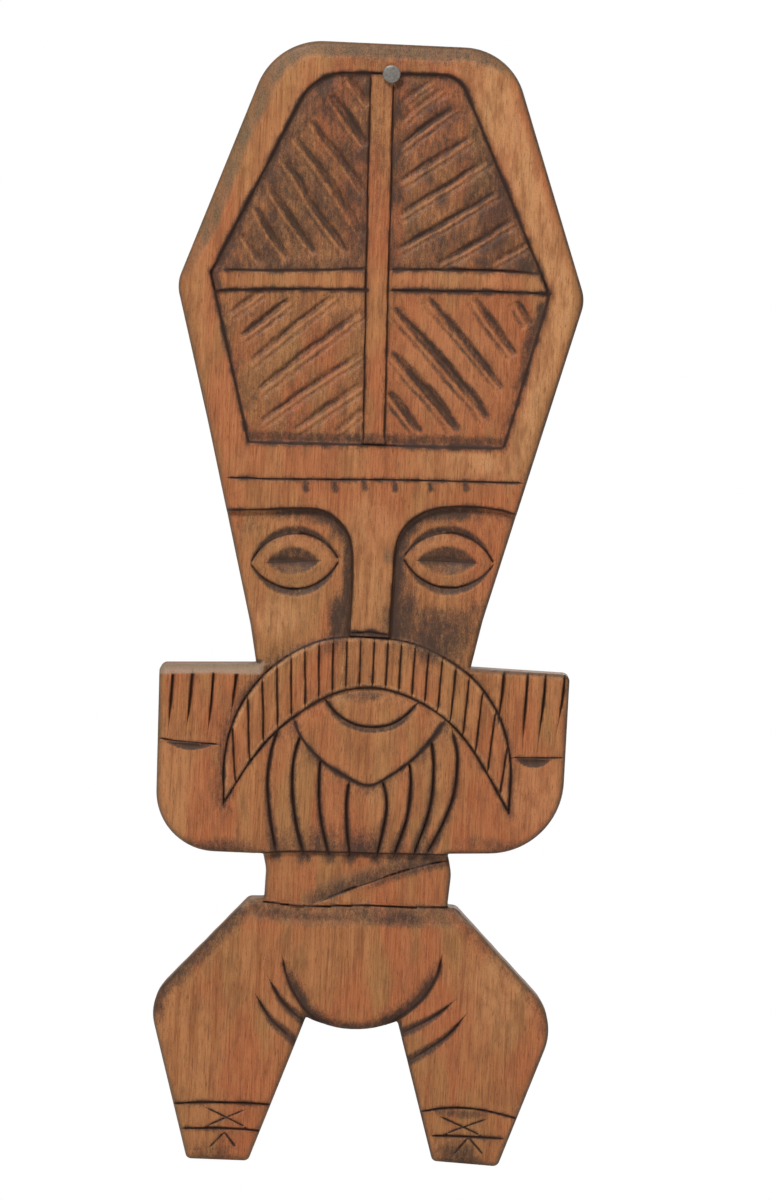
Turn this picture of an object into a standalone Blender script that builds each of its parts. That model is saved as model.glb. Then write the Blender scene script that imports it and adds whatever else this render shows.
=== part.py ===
"""A carved wall figure cut from one board, and the wire nail it hangs on.

The figure faces -Y and its flat back lies on the wall, the plane Y = 0. The origin is on the nail's
axis at the wall. Outlines are drawn in the X-Z plane, in millimetres, as the figure hangs.
"""

import math

import bmesh
import bpy
from mathutils import Vector

MM = 0.001

# Driving dimensions, in millimetres.
BOARD_THICKNESS = 16.0
FRONT_EDGE_ROUND = 1.6
EDGE_ROUND_STEPS = 2
NAIL_SHANK_RADIUS = 1.5
NAIL_HEAD_RADIUS = 3.0
NAIL_HEAD_THICKNESS = 1.2
NAIL_DEPTH_IN_WALL = 22.0
NAIL_POINT_LENGTH = 4.0
NAIL_POINT_RADIUS = 0.25
NAIL_HEAD_EDGE_ROUND = 0.25
NAIL_HEAD_FACE_RADIUS = 2.58
NAIL_HEAD_BACK_ROUND = 0.2
NAIL_HEAD_BACK_RADIUS = 2.7
RUNNING_GAP = 0.3
HEAD_STAND_OFF = 0.5
CLEAR_OF_FACE = 0.8
HOLE_CUTTER_OVERRUN = 2.0

# How deep each field of the relief lies below the front face.
HAT_PANEL_DEPTH = 1.2
CHEEK_DEPTH = 2.0
EYE_DEPTH = 0.6
PUPIL_DEPTH = 1.5
EYELID_DEPTH = 2.9
LIP_DEPTH = 0.7
WAIST_DEPTH = 2.0
WRIST_DEPTH = 1.0
LIP_SHADOW_WIDTH = 1.8
RAISED_EYE_ROOT = 5.0

# The width and depth of each kind of knife cut.
MOUSTACHE_EDGE_CUT = (1.4, 1.2)
MOUSTACHE_STRAND_CUT = (1.0, 1.0)
BAND_LINE_CUT = (0.8, 0.7)
CHIN_CUT = (1.6, 1.2)
BEARD_CUT = (1.6, 1.4)
FINGER_CUT = (1.8, 1.4)
BELLY_CUT = (3.0, 1.4)
GROIN_CUT = (1.8, 1.0)
SASH_CUT = (1.6, 0.8)
ANKLE_CUT = (1.2, 0.9)
FINE_CUT = (1.0, 0.7)
GOUGE_DEPTH_PER_WIDTH = 0.3
RUN_OUT = 0.2

ROUND_SEGMENTS = 32
BELLY_ARC_STEPS = 6
SHARP_EDGE_DEGREES = 30.0
DEGREES_PER_ARC_STEP = 15.0

# Colour, roughness and metallic value.
WOOD_FINISH = ((0.36, 0.155, 0.065, 1.0), 0.55, 0.0)
STEEL_FINISH = ((0.32, 0.31, 0.29, 1.0), 0.4, 0.9)

# Corners of the figure, clockwise from the hat's upper left: x, z and the corner's radius.
FIGURE_HAT_RIGHT = [(-38.8, 9.9, 23), (39.0, 10.0, 21), (67.8, -72.0, 12), (38.9, -180.0, 40),
                    (35.6, -196.2, 0.6)]
FIGURE_ARM_RIGHT = [(68.7, -196.8, 2.2), (68.3, -256.4, 25), (30.8, -258.4, 0.6)]
FIGURE_WAIST_RIGHT = [(32.4, -265.0, 12), (31.6, -276.2, 0.6), (34.6, -276.4, 3)]
FIGURE_LEG_RIGHT = [(70.0, -311.8, 18), (52.4, -362.2, 2.2), (30.6, -361.4, 2), (16.8, -315.2, 0.5)]
FIGURE_LEG_LEFT = [(-13.8, -315.2, 0.5), (-30.9, -364.2, 2), (-51.4, -364.4, 2), (-66.6, -311.8, 15)]
FIGURE_WAIST_LEFT = [(-34.8, -276.4, 3), (-29.6, -276.2, 0.6), (-29.4, -266.0, 12), (-30.6, -261.2, 0.6)]
FIGURE_ARM_LEFT = [(-66.7, -261.3, 20), (-68.0, -199.4, 2.5), (-35.8, -197.9, 0.6)]
FIGURE_HAT_LEFT = [(-38.4, -184.7, 40), (-55.6, -118.0, 60), (-68.0, -72.6, 12)]
BELLY_BOTTOM = (3.2, -318.6)

# The four sunk fields of the hat, on either side of its upright and its crossbar.
HAT_FIELDS = [
    [(-7.0, -0.6, 0), (-6.0, -64.8, 0), (-52.6, -67.0, 0), (-27.6, -6.0, 12), (-16.0, -0.8, 12)],
    [(0.8, 0.4, 0), (19.8, 0.6, 3), (53.0, -63.2, 0), (2.2, -64.6, 0)],
    [(-4.6, -72.0, 0), (-3.4, -123.6, 0), (-41.8, -124.2, 0), (-55.0, -74.4, 0)],
    [(2.6, -71.4, 0), (55.0, -70.4, 0), (54.2, -76.0, 8), (43.0, -122.4, 0), (3.6, -123.4, 0)],
]

# Gouge strokes across the hat's fields: the two ends of each, then its width.
GOUGES_UPPER_LEFT = [
    ((-15.0, -3.0), (-7.6, -11.5), 3.0),
    ((-22.0, -7.5), (-7.6, -26.0), 4.2),
    ((-27.0, -15.5), (-7.4, -41.0), 3.2),
    ((-33.0, -21.5), (-7.0, -53.0), 3.4),
    ((-36.0, -31.0), (-9.5, -62.0), 3.4),
    ((-40.5, -40.0), (-20.5, -63.5), 3.4),
    ((-44.5, -48.0), (-31.5, -64.0), 3.0),
    ((-49.0, -57.0), (-41.0, -65.0), 2.6),
]
GOUGES_UPPER_RIGHT = [
    ((15.5, -1.5), (3.6, -12.5), 3.4),
    ((21.5, -11.4), (3.6, -25.6), 3.4),
    ((28.2, -20.0), (3.6, -37.2), 3.4),
    ((34.2, -28.0), (3.6, -48.4), 3.2),
    ((38.4, -38.0), (3.8, -60.0), 3.4),
    ((44.4, -46.8), (20.0, -62.6), 2.8),
    ((48.8, -54.6), (37.0, -61.4), 2.4),
]
GOUGES_LOWER_LEFT = [
    ((-40.5, -75.0), (-50.5, -82.8), 2.8),
    ((-30.0, -77.8), (-46.5, -91.2), 3.6),
    ((-15.0, -75.4), (-43.5, -100.4), 3.2),
    ((-5.4, -80.2), (-41.5, -109.6), 3.6),
    ((-5.2, -94.4), (-38.5, -118.6), 3.2),
    ((-4.8, -104.4), (-25.0, -119.6), 3.2),
    ((-4.4, -112.6), (-13.0, -119.8), 2.6),
]
GOUGES_LOWER_RIGHT = [
    ((42.0, -73.0), (49.6, -82.4), 2.8),
    ((28.6, -72.8), (46.4, -93.4), 3.2),
    ((14.6, -73.4), (43.0, -105.4), 3.2),
    ((4.6, -77.6), (38.0, -115.0), 4.4),
    ((4.2, -92.6), (27.6, -119.0), 4.4),
    ((4.4, -107.0), (15.0, -119.6), 3.8),
]

BROW_LEFT = [(-40.0, -146.7), (-25.0, -145.6), (-15.5, -146.2), (-8.8, -150.8), (-5.6, -158.5),
             (-5.2, -172.0)]
BROW_RIGHT = [(42.0, -142.8), (30.0, -142.4), (19.5, -144.2), (11.6, -149.8), (8.6, -158.0),
              (8.2, -172.0)]

# Each cheek's corners, outside the figure and then under the nose and along the moustache.
CHEEK_LEFT_OUTSIDE = [(-56.0, -198.4), (-56.0, -147.2)]
CHEEK_LEFT_UNDER = [(-5.2, -187.6), (-14.0, -189.2), (-21.5, -192.6), (-28.6, -197.4), (-29.4, -198.4)]
CHEEK_RIGHT_OUTSIDE = [(56.0, -197.0), (56.0, -144.4)]
CHEEK_RIGHT_UNDER = [(8.2, -187.6), (18.5, -189.4), (26.5, -192.8), (33.4, -197.0)]

# Eyes and pupils: first tip, top, second tip, bottom.
EYE_LEFT = [(-39.2, -164.6), (-24.4, -153.8), (-9.8, -162.2), (-24.8, -172.4)]
EYE_RIGHT = [(11.4, -160.4), (26.2, -151.4), (41.6, -161.0), (26.4, -169.6)]
PUPIL_LEFT = [(-34.6, -164.2), (-24.8, -158.0), (-15.8, -162.6), (-25.0, -168.2)]
PUPIL_RIGHT = [(15.6, -161.0), (26.0, -155.4), (36.6, -161.0), (26.2, -166.0)]
EYELID_WIDTH = 2.9
EYELID_TIP_INSET = 1.0

MOUSTACHE_TOP = [(-44.2, -244.5), (-44.4, -232.0), (-40.6, -212.6), (-29.0, -197.6), (-14.0, -189.2),
                 (2.5, -187.2), (18.5, -189.4), (34.0, -197.6), (46.4, -213.2), (50.6, -231.0),
                 (50.5, -243.5)]
MOUSTACHE_FOOT = [(-44.2, -244.5), (-31.0, -223.8), (-16.0, -210.4), (3.0, -204.2), (21.0, -208.9),
                  (33.0, -218.2), (50.5, -243.5)]
MOUSTACHE_CUTS = 21
MOUSTACHE_CUT_PITCH = 4.5
MOUSTACHE_FAN = 0.09
MOUSTACHE_MIDDLE = 3.0
MOUSTACHE_CUT_INSET = 1.0
# How many points of the moustache's top edge, from either end, lie on the hands.
MOUSTACHE_HAND_POINTS = 10
LIP_FOOT = [(-12.6, -208.4), (-6.5, -214.6), (3.0, -217.2), (12.5, -214.8), (18.6, -208.4)]
CHIN_FOOT = [(-22.0, -215.2), (-15.0, -227.4), (3.0, -236.8), (17.5, -228.0), (27.8, -213.8)]
BEARD_CUTS = [
    [(-27.4, -220.0), (-30.2, -236.0), (-26.4, -258.5)],
    [(-20.2, -220.5), (-22.0, -236.0), (-17.4, -258.5)],
    [(-13.2, -229.0), (-12.8, -241.0), (-9.4, -258.5)],
    [(-3.2, -235.0), (-3.6, -246.0), (-1.9, -258.5)],
    [(8.2, -235.0), (9.9, -244.0), (7.8, -258.5)],
    [(16.8, -228.5), (17.4, -242.0), (13.4, -258.5)],
    [(23.8, -220.5), (24.8, -237.0), (20.0, -258.5)],
    [(30.6, -216.5), (32.8, -234.0), (24.6, -257.5)],
]
FINGER_CUTS = [
    ((-63.0, -200.2), (-64.2, -219.6)), ((-56.8, -200.0), (-57.8, -218.6)),
    ((-49.9, -199.8), (-50.6, -219.8)), ((-42.4, -199.6), (-42.7, -213.0)),
    ((46.6, -197.2), (46.0, -211.5)), ((54.6, -197.4), (54.0, -218.0)),
    ((60.6, -197.5), (59.4, -218.5)), ((66.6, -199.0), (65.6, -211.0)),
]
WRISTS = [[(-66.6, -224.4), (-57.0, -225.2), (-47.2, -225.4), (-57.0, -227.8)],
          [(51.0, -225.0), (59.0, -224.9), (67.0, -224.6), (57.6, -228.2)]]
WAIST = [(-36.0, -261.0), (-30.6, -261.0), (30.4, -258.6), (36.0, -258.6), (36.0, -277.6), (-36.0, -277.6)]
HAT_BAND_LINE = [(-48.8, -136.2), (0.0, -134.9), (50.4, -133.7)]
SASH_LINE = [(-12.0, -276.6), (12.0, -266.8), (31.0, -260.6)]
BELLY_CUTS = [[(-22.4, -295.8), (-18.2, -306.0), (-12.6, -315.0)],
              [(30.4, -293.0), (26.4, -304.8), (17.0, -314.4)]]
GROIN_CUTS = [((-25.6, -303.2), (-14.2, -316.6)), ((-30.0, -308.4), (-15.8, -322.8)),
              ((35.6, -307.2), (19.0, -320.2)), ((39.2, -311.4), (21.0, -328.2))]
ANKLE_LINES = [
    [(-56.4, -346.2), (-40.0, -345.0), (-23.8, -344.6)],
    [(-52.4, -353.9), (-40.0, -353.5), (-27.2, -353.3)],
    [(26.4, -344.6), (41.0, -342.9), (57.4, -345.4)],
    [(30.6, -352.6), (42.0, -352.3), (53.2, -352.3)],
]
ANKLE_CROSSES = [((-48.2, -346.8), (-32.6, -353.2)), ((-34.0, -346.6), (-46.8, -353.4)),
                 ((33.2, -345.6), (48.4, -351.8)), ((50.4, -346.0), (36.0, -351.9))]
TOE_CUTS = [((-39.4, -355.0), (-44.2, -360.4)), ((-39.2, -355.0), (-35.0, -360.0)),
            ((42.2, -353.2), (37.4, -359.0)), ((42.4, -353.2), (47.8, -358.6))]


def clear_scene():
    for obj in list(bpy.data.objects):
        bpy.data.objects.remove(obj, do_unlink=True)


def material(name, colour, roughness, metallic):
    made = bpy.data.materials.new(name)
    made.use_nodes = True
    shader = made.node_tree.nodes["Principled BSDF"]
    shader.inputs["Base Color"].default_value = colour
    shader.inputs["Roughness"].default_value = roughness
    shader.inputs["Metallic"].default_value = metallic
    return made


def add_object(name, mesh_data):
    obj = bpy.data.objects.new(name, mesh_data)
    bpy.context.scene.collection.objects.link(obj)
    return obj


def point(x, y, z):
    return (x * MM, y * MM, z * MM)


def rounded(corners):
    """The outline through these corners, each one rounded to its own radius."""
    outline = []
    for index, (x, z, radius) in enumerate(corners):
        corner = Vector((x, z))
        if radius == 0:
            outline.append((x, z))
            continue
        before = (Vector(corners[index - 1][:2]) - corner).normalized()
        after = (Vector(corners[(index + 1) % len(corners)][:2]) - corner).normalized()
        half = before.angle(after) / 2
        centre = corner + (before + after).normalized() * radius / math.sin(half)
        start = corner + before * radius / math.tan(half) - centre
        turn = start.angle_signed(corner + after * radius / math.tan(half) - centre)
        steps = max(1, round(abs(math.degrees(turn)) / DEGREES_PER_ARC_STEP))
        for step in range(steps + 1):
            angle = -turn * step / steps
            c, s = math.cos(angle), math.sin(angle)
            outline.append((centre.x + start.x * c - start.y * s, centre.y + start.x * s + start.y * c))
    return outline


def arc(start, through, end, steps=8):
    """Points on the circle through three points, from the first to the last."""
    a, b, c = Vector(start), Vector(through), Vector(end)
    d = 2 * (a.x * (b.y - c.y) + b.x * (c.y - a.y) + c.x * (a.y - b.y))
    aa, bb, cc = a.length_squared, b.length_squared, c.length_squared
    centre = Vector((
        (aa * (b.y - c.y) + bb * (c.y - a.y) + cc * (a.y - b.y)) / d,
        (aa * (c.x - b.x) + bb * (a.x - c.x) + cc * (b.x - a.x)) / d,
    ))
    first, middle, last = (math.atan2(p.y - centre.y, p.x - centre.x) for p in (a, b, c))
    full = 2 * math.pi
    sweep = (last - first) % full
    if (middle - first) % full > sweep:
        sweep -= full
    radius = (a - centre).length
    return [
        (centre.x + radius * math.cos(first + sweep * step / steps),
         centre.y + radius * math.sin(first + sweep * step / steps))
        for step in range(steps + 1)
    ]


def smooth(knots, steps=3):
    """A smooth curve (Catmull-Rom) through the knots."""
    ends = [2 * Vector(knots[0]) - Vector(knots[1])]
    ends += [Vector(knot) for knot in knots]
    ends.append(2 * Vector(knots[-1]) - Vector(knots[-2]))
    curve = []
    for p0, p1, p2, p3 in zip(ends, ends[1:], ends[2:], ends[3:]):
        for step in range(steps):
            t = step / steps
            at = 0.5 * (2 * p1 + (p2 - p0) * t + (2 * p0 - 5 * p1 + 4 * p2 - p3) * t**2
                        + (3 * p1 - p0 - 3 * p2 + p3) * t**3)
            curve.append((at.x, at.y))
    curve.append(tuple(knots[-1]))
    return curve


def lens(tips):
    """A pointed oval: first tip, top, second tip, bottom."""
    first, top, second, bottom = tips
    return arc(first, top, second)[:-1] + arc(second, bottom, first)[:-1]


def grown_lens(tips, by):
    """The same pointed oval, with its top and bottom moved outward and its tips a little inward."""
    first, top, second, bottom = tips
    return [(first[0] + EYELID_TIP_INSET, first[1]), (top[0], top[1] + by),
            (second[0] - EYELID_TIP_INSET, second[1]), (bottom[0], bottom[1] - by)]


def inset(outline, by):
    """A clockwise outline moved inward on every side."""
    moved = []
    for index, here in enumerate(outline):
        before, after = Vector(outline[index - 1]), Vector(outline[(index + 1) % len(outline)])
        sides = [(Vector(here) - before).normalized(), (after - Vector(here)).normalized()]
        first, second = (Vector((side.y, -side.x)) for side in sides)
        mitre = (first + second).normalized()
        at = Vector(here) + mitre * by / mitre.dot(first)
        moved.append((at.x, at.y))
    return moved


def bridge(mesh, ring, next_ring):
    """Faces between two rings with the same number of vertices."""
    for index in range(len(ring)):
        mesh.faces.new((ring[index - 1], next_ring[index - 1], next_ring[index], ring[index]))


def add_prism(mesh, outline, y_front, y_back):
    """A closed prism with this outline, from one depth to another."""
    front = [mesh.verts.new(point(x, y_front, z)) for x, z in outline]
    back = [mesh.verts.new(point(x, y_back, z)) for x, z in outline]
    mesh.faces.new(front)
    mesh.faces.new(back[::-1])
    bridge(mesh, front, back)


def add_sunk_field(mesh, outline, depth):
    """A cutter that sinks an outline this deep below the front face."""
    add_prism(mesh, outline, -BOARD_THICKNESS - CLEAR_OF_FACE, -BOARD_THICKNESS + depth)


def add_v_cut(mesh, path, cut, level=0.0):
    """A boat-shaped cutter along a path, with both ends running out at the surface."""
    width, depth = cut
    if len(path) == 2:
        a, b = Vector(path[0]), Vector(path[1])
        path = [a, a.lerp(b, RUN_OUT), a.lerp(b, 1 - RUN_OUT), b]
    path = [Vector(p) for p in path]
    surface = -BOARD_THICKNESS + level
    top_width = width / 2 * (1 + CLEAR_OF_FACE / depth)
    rings = []
    for before, at, after in zip(path, path[1:], path[2:]):
        side = (after - before).normalized().orthogonal() * top_width
        left, right = at + side, at - side
        rings.append((
            mesh.verts.new(point(left.x, surface - CLEAR_OF_FACE, left.y)),
            mesh.verts.new(point(right.x, surface - CLEAR_OF_FACE, right.y)),
            mesh.verts.new(point(at.x, surface + depth, at.y)),
        ))
    bow = mesh.verts.new(point(path[0].x, surface - CLEAR_OF_FACE, path[0].y))
    stern = mesh.verts.new(point(path[-1].x, surface - CLEAR_OF_FACE, path[-1].y))
    for tip, ring in ((bow, rings[0]), (stern, rings[-1])):
        for index in range(3):
            mesh.faces.new((tip, ring[index], ring[index - 1]))
    for near, far in zip(rings, rings[1:]):
        for index in range(3):
            mesh.faces.new((near[index - 1], near[index], far[index], far[index - 1]))


def finish_mesh(mesh, name):
    bmesh.ops.triangulate(mesh, faces=[face for face in mesh.faces if len(face.verts) == 4])
    bmesh.ops.recalc_face_normals(mesh, faces=mesh.faces)
    data = bpy.data.meshes.new(name)
    mesh.to_mesh(data)
    mesh.free()
    return data


def helper(name, fill):
    """An unrendered object whose closed bodies are added by the function fill."""
    mesh = bmesh.new()
    fill(mesh)
    obj = add_object(name, finish_mesh(mesh, name))
    obj.hide_render = True
    obj.display_type = "WIRE"
    return obj


def boolean(obj, tool, operation):
    modifier = obj.modifiers.new(tool.name, "BOOLEAN")
    modifier.operation = operation
    modifier.solver = "EXACT"
    modifier.object = tool


def figure_outline():
    belly = arc(FIGURE_LEG_RIGHT[-1][:2], BELLY_BOTTOM, FIGURE_LEG_LEFT[0][:2], BELLY_ARC_STEPS)[1:-1]
    right_side = FIGURE_HAT_RIGHT + FIGURE_ARM_RIGHT + FIGURE_WAIST_RIGHT + FIGURE_LEG_RIGHT
    left_side = FIGURE_LEG_LEFT + FIGURE_WAIST_LEFT + FIGURE_ARM_LEFT + FIGURE_HAT_LEFT
    return rounded(right_side + [(x, z, 0) for x, z in belly] + left_side)


def fill_fields(mesh):
    for corners in HAT_FIELDS:
        add_sunk_field(mesh, rounded(corners), HAT_PANEL_DEPTH)
    add_sunk_field(mesh, CHEEK_LEFT_OUTSIDE + smooth(BROW_LEFT) + CHEEK_LEFT_UNDER, CHEEK_DEPTH)
    add_sunk_field(mesh, CHEEK_RIGHT_OUTSIDE + smooth(BROW_RIGHT) + CHEEK_RIGHT_UNDER, CHEEK_DEPTH)
    add_sunk_field(mesh, WAIST, WAIST_DEPTH)
    for wrist in WRISTS:
        first, line, second, foot = wrist
        add_sunk_field(mesh, arc(first, line, second, 2)[:-1] + arc(second, foot, first)[:-1], WRIST_DEPTH)
    lip = smooth(LIP_FOOT)
    last = len(lip) - 1
    shadow = [(x, z - LIP_SHADOW_WIDTH * math.sin(math.pi * i / last)) for i, (x, z) in enumerate(lip)]
    add_sunk_field(mesh, lip + shadow[-2:0:-1], LIP_DEPTH)


def fill_eyelids(mesh):
    for eye in (EYE_LEFT, EYE_RIGHT):
        add_sunk_field(mesh, lens(grown_lens(eye, EYELID_WIDTH)), EYELID_DEPTH)


def fill_eyes(mesh):
    for eye in (EYE_LEFT, EYE_RIGHT):
        add_prism(mesh, lens(eye), -BOARD_THICKNESS + EYE_DEPTH, -BOARD_THICKNESS + RAISED_EYE_ROOT)


def fill_pupils(mesh):
    for pupil in (PUPIL_LEFT, PUPIL_RIGHT):
        add_sunk_field(mesh, lens(pupil), PUPIL_DEPTH)


def fill_gouges(mesh):
    for strokes in (GOUGES_UPPER_LEFT, GOUGES_UPPER_RIGHT, GOUGES_LOWER_LEFT, GOUGES_LOWER_RIGHT):
        for start, end, width in strokes:
            add_v_cut(mesh, [start, end], (width, width * GOUGE_DEPTH_PER_WIDTH), HAT_PANEL_DEPTH)


def height_at(curve, x):
    """The curve's z at this x."""
    for (x0, z0), (x1, z1) in zip(curve, curve[1:]):
        if min(x0, x1) <= x <= max(x0, x1) and x0 != x1:
            return z0 + (z1 - z0) * (x - x0) / (x1 - x0)
    return None


def fill_moustache_cuts(mesh):
    top, foot = smooth(MOUSTACHE_TOP), smooth(MOUSTACHE_FOOT)
    middle = (MOUSTACHE_CUTS - 1) / 2
    for index in range(MOUSTACHE_CUTS):
        x = MOUSTACHE_MIDDLE + (index - middle) * MOUSTACHE_CUT_PITCH
        upper, lower = height_at(top, x), height_at(foot, x)
        lean = (index - middle) * MOUSTACHE_FAN
        ends = [(x + lean, upper - MOUSTACHE_CUT_INSET), (x - lean, lower + MOUSTACHE_CUT_INSET)]
        add_v_cut(mesh, ends, MOUSTACHE_STRAND_CUT)


def fill_outline_cuts(mesh):
    moustache = smooth(MOUSTACHE_TOP)
    add_v_cut(mesh, moustache[:MOUSTACHE_HAND_POINTS], MOUSTACHE_EDGE_CUT)
    add_v_cut(mesh, moustache[-MOUSTACHE_HAND_POINTS:], MOUSTACHE_EDGE_CUT)
    add_v_cut(mesh, smooth(HAT_BAND_LINE, 1), BAND_LINE_CUT)
    for path in BELLY_CUTS:
        add_v_cut(mesh, smooth(path), BELLY_CUT)
    for start, end in GROIN_CUTS:
        add_v_cut(mesh, [start, end], GROIN_CUT)
    for path in ANKLE_LINES:
        add_v_cut(mesh, smooth(path, 1), ANKLE_CUT)
    add_v_cut(mesh, SASH_LINE, SASH_CUT, WAIST_DEPTH)


def fill_beard_cuts(mesh):
    for path in BEARD_CUTS:
        add_v_cut(mesh, smooth(path), BEARD_CUT)
    for start, end in FINGER_CUTS:
        add_v_cut(mesh, [start, end], FINGER_CUT)
    for start, end in ANKLE_CROSSES[::2] + TOE_CUTS[::2]:
        add_v_cut(mesh, [start, end], FINE_CUT)


def fill_chin_cuts(mesh):
    add_v_cut(mesh, smooth(CHIN_FOOT), CHIN_CUT)
    for start, end in ANKLE_CROSSES[1::2] + TOE_CUTS[1::2]:
        add_v_cut(mesh, [start, end], FINE_CUT)


def fill_moustache_foot(mesh):
    add_v_cut(mesh, smooth(MOUSTACHE_FOOT), MOUSTACHE_EDGE_CUT)


def fill_nail_hole(mesh):
    radius = NAIL_SHANK_RADIUS + RUNNING_GAP
    circle = [(radius * math.cos(2 * math.pi * i / ROUND_SEGMENTS),
               radius * math.sin(2 * math.pi * i / ROUND_SEGMENTS)) for i in range(ROUND_SEGMENTS)]
    add_prism(mesh, circle, -BOARD_THICKNESS - HOLE_CUTTER_OVERRUN, HOLE_CUTTER_OVERRUN)


def make_board():
    """The figure: an outlined board with an eased front edge, and its relief cut into the front."""
    mesh = bmesh.new()
    outline = figure_outline()
    rings = [[mesh.verts.new(point(x, 0.0, z)) for x, z in outline]]
    for step in range(EDGE_ROUND_STEPS + 1):
        angle = math.pi / 2 * step / EDGE_ROUND_STEPS
        moved = inset(outline, FRONT_EDGE_ROUND * (1 - math.cos(angle)))
        y = -BOARD_THICKNESS + FRONT_EDGE_ROUND * (1 - math.sin(angle))
        rings.append([mesh.verts.new(point(x, y, z)) for x, z in moved])
    for ring, next_ring in zip(rings, rings[1:]):
        bridge(mesh, ring, next_ring)
    mesh.faces.new(rings[0])
    mesh.faces.new(rings[-1])
    board = add_object("carved_board", finish_mesh(mesh, "carved_board"))
    boolean(board, helper("cut_fields", fill_fields), "DIFFERENCE")
    boolean(board, helper("cut_eyelids", fill_eyelids), "DIFFERENCE")
    boolean(board, helper("raise_eyes", fill_eyes), "UNION")
    boolean(board, helper("cut_pupils", fill_pupils), "DIFFERENCE")
    boolean(board, helper("cut_gouges", fill_gouges), "DIFFERENCE")
    boolean(board, helper("cut_moustache_foot", fill_moustache_foot), "DIFFERENCE")
    boolean(board, helper("cut_outlines", fill_outline_cuts), "DIFFERENCE")
    boolean(board, helper("cut_moustache", fill_moustache_cuts), "DIFFERENCE")
    boolean(board, helper("cut_beard", fill_beard_cuts), "DIFFERENCE")
    boolean(board, helper("cut_chin", fill_chin_cuts), "DIFFERENCE")
    boolean(board, helper("cut_nail_hole", fill_nail_hole), "DIFFERENCE")
    board.data.materials.append(material("carved_wood", *WOOD_FINISH))


def make_nail():
    """A round wire nail: domed flat head in front of the board, shank through it, point in the wall."""
    head_back = -BOARD_THICKNESS - HEAD_STAND_OFF
    head_front = head_back - NAIL_HEAD_THICKNESS
    profile = [
        (head_front, NAIL_HEAD_FACE_RADIUS),
        (head_front + NAIL_HEAD_EDGE_ROUND, NAIL_HEAD_RADIUS),
        (head_back - NAIL_HEAD_BACK_ROUND, NAIL_HEAD_RADIUS),
        (head_back, NAIL_HEAD_BACK_RADIUS),
        (head_back, NAIL_SHANK_RADIUS),
        (NAIL_DEPTH_IN_WALL - NAIL_POINT_LENGTH, NAIL_SHANK_RADIUS),
        (NAIL_DEPTH_IN_WALL, NAIL_POINT_RADIUS),
    ]
    mesh = bmesh.new()
    rings = []
    for y, radius in profile:
        rings.append([
            mesh.verts.new(point(radius * math.cos(2 * math.pi * i / ROUND_SEGMENTS), y,
                                 radius * math.sin(2 * math.pi * i / ROUND_SEGMENTS)))
            for i in range(ROUND_SEGMENTS)
        ])
    for ring, next_ring in zip(rings, rings[1:]):
        bridge(mesh, ring, next_ring)
    mesh.faces.new(rings[0])
    mesh.faces.new(rings[-1])
    nail = add_object("hanging_nail", finish_mesh(mesh, "hanging_nail"))
    nail.data.shade_smooth()
    nail.data.set_sharp_from_angle(angle=math.radians(SHARP_EDGE_DEGREES))
    nail.data.materials.append(material("nail_steel", *STEEL_FINISH))


clear_scene()
make_board()
make_nail()
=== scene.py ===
"""The looks of the carved wall figure: its relief and wood, its nail, the light and the camera.

The board is rebuilt here as one fine relief mesh. Every outline and cut is drawn in the X-Z plane in
millimetres, as the figure hangs from the nail at the origin, and the figure faces -Y.
"""

import math

import bmesh
import bpy
import numpy as np
from mathutils import Matrix, Vector


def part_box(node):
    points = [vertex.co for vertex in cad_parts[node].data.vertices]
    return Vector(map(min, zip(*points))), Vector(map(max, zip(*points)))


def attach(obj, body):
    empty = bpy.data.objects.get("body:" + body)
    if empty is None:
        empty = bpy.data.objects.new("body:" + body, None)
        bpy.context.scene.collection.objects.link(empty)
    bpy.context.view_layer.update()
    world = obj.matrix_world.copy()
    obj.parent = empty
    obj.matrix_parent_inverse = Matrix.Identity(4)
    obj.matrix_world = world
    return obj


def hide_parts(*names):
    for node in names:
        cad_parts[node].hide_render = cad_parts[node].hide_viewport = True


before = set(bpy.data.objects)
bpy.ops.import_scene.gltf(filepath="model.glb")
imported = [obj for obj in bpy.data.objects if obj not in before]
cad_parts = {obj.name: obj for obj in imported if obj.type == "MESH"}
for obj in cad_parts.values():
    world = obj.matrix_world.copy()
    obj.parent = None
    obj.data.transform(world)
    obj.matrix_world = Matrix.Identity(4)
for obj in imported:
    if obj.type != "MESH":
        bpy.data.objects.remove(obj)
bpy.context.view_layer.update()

MM = 0.001
BOARD_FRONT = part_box("carved_board")[0].y / MM
BOARD_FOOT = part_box("carved_board")[0].z / MM
NAIL_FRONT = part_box("hanging_nail")[0].y / MM
NAIL_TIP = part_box("hanging_nail")[1].y / MM

GRID_STEP = 0.5
ARC_STEP_DEGREES = 4.0
FRONT_EDGE_ROUND = 1.7
BACK_EDGE_ROUND = 0.7
NAIL_HOLE_RADIUS = 1.8
SIDE_ROWS = 7
NO_LINE = 3.0
WALL_GREY = 0.75
ALL = slice(None)
TINY = 1e-9

# Outlines, in millimetres. A corner is x, z and its radius; a line is the x, z of its points.

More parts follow.
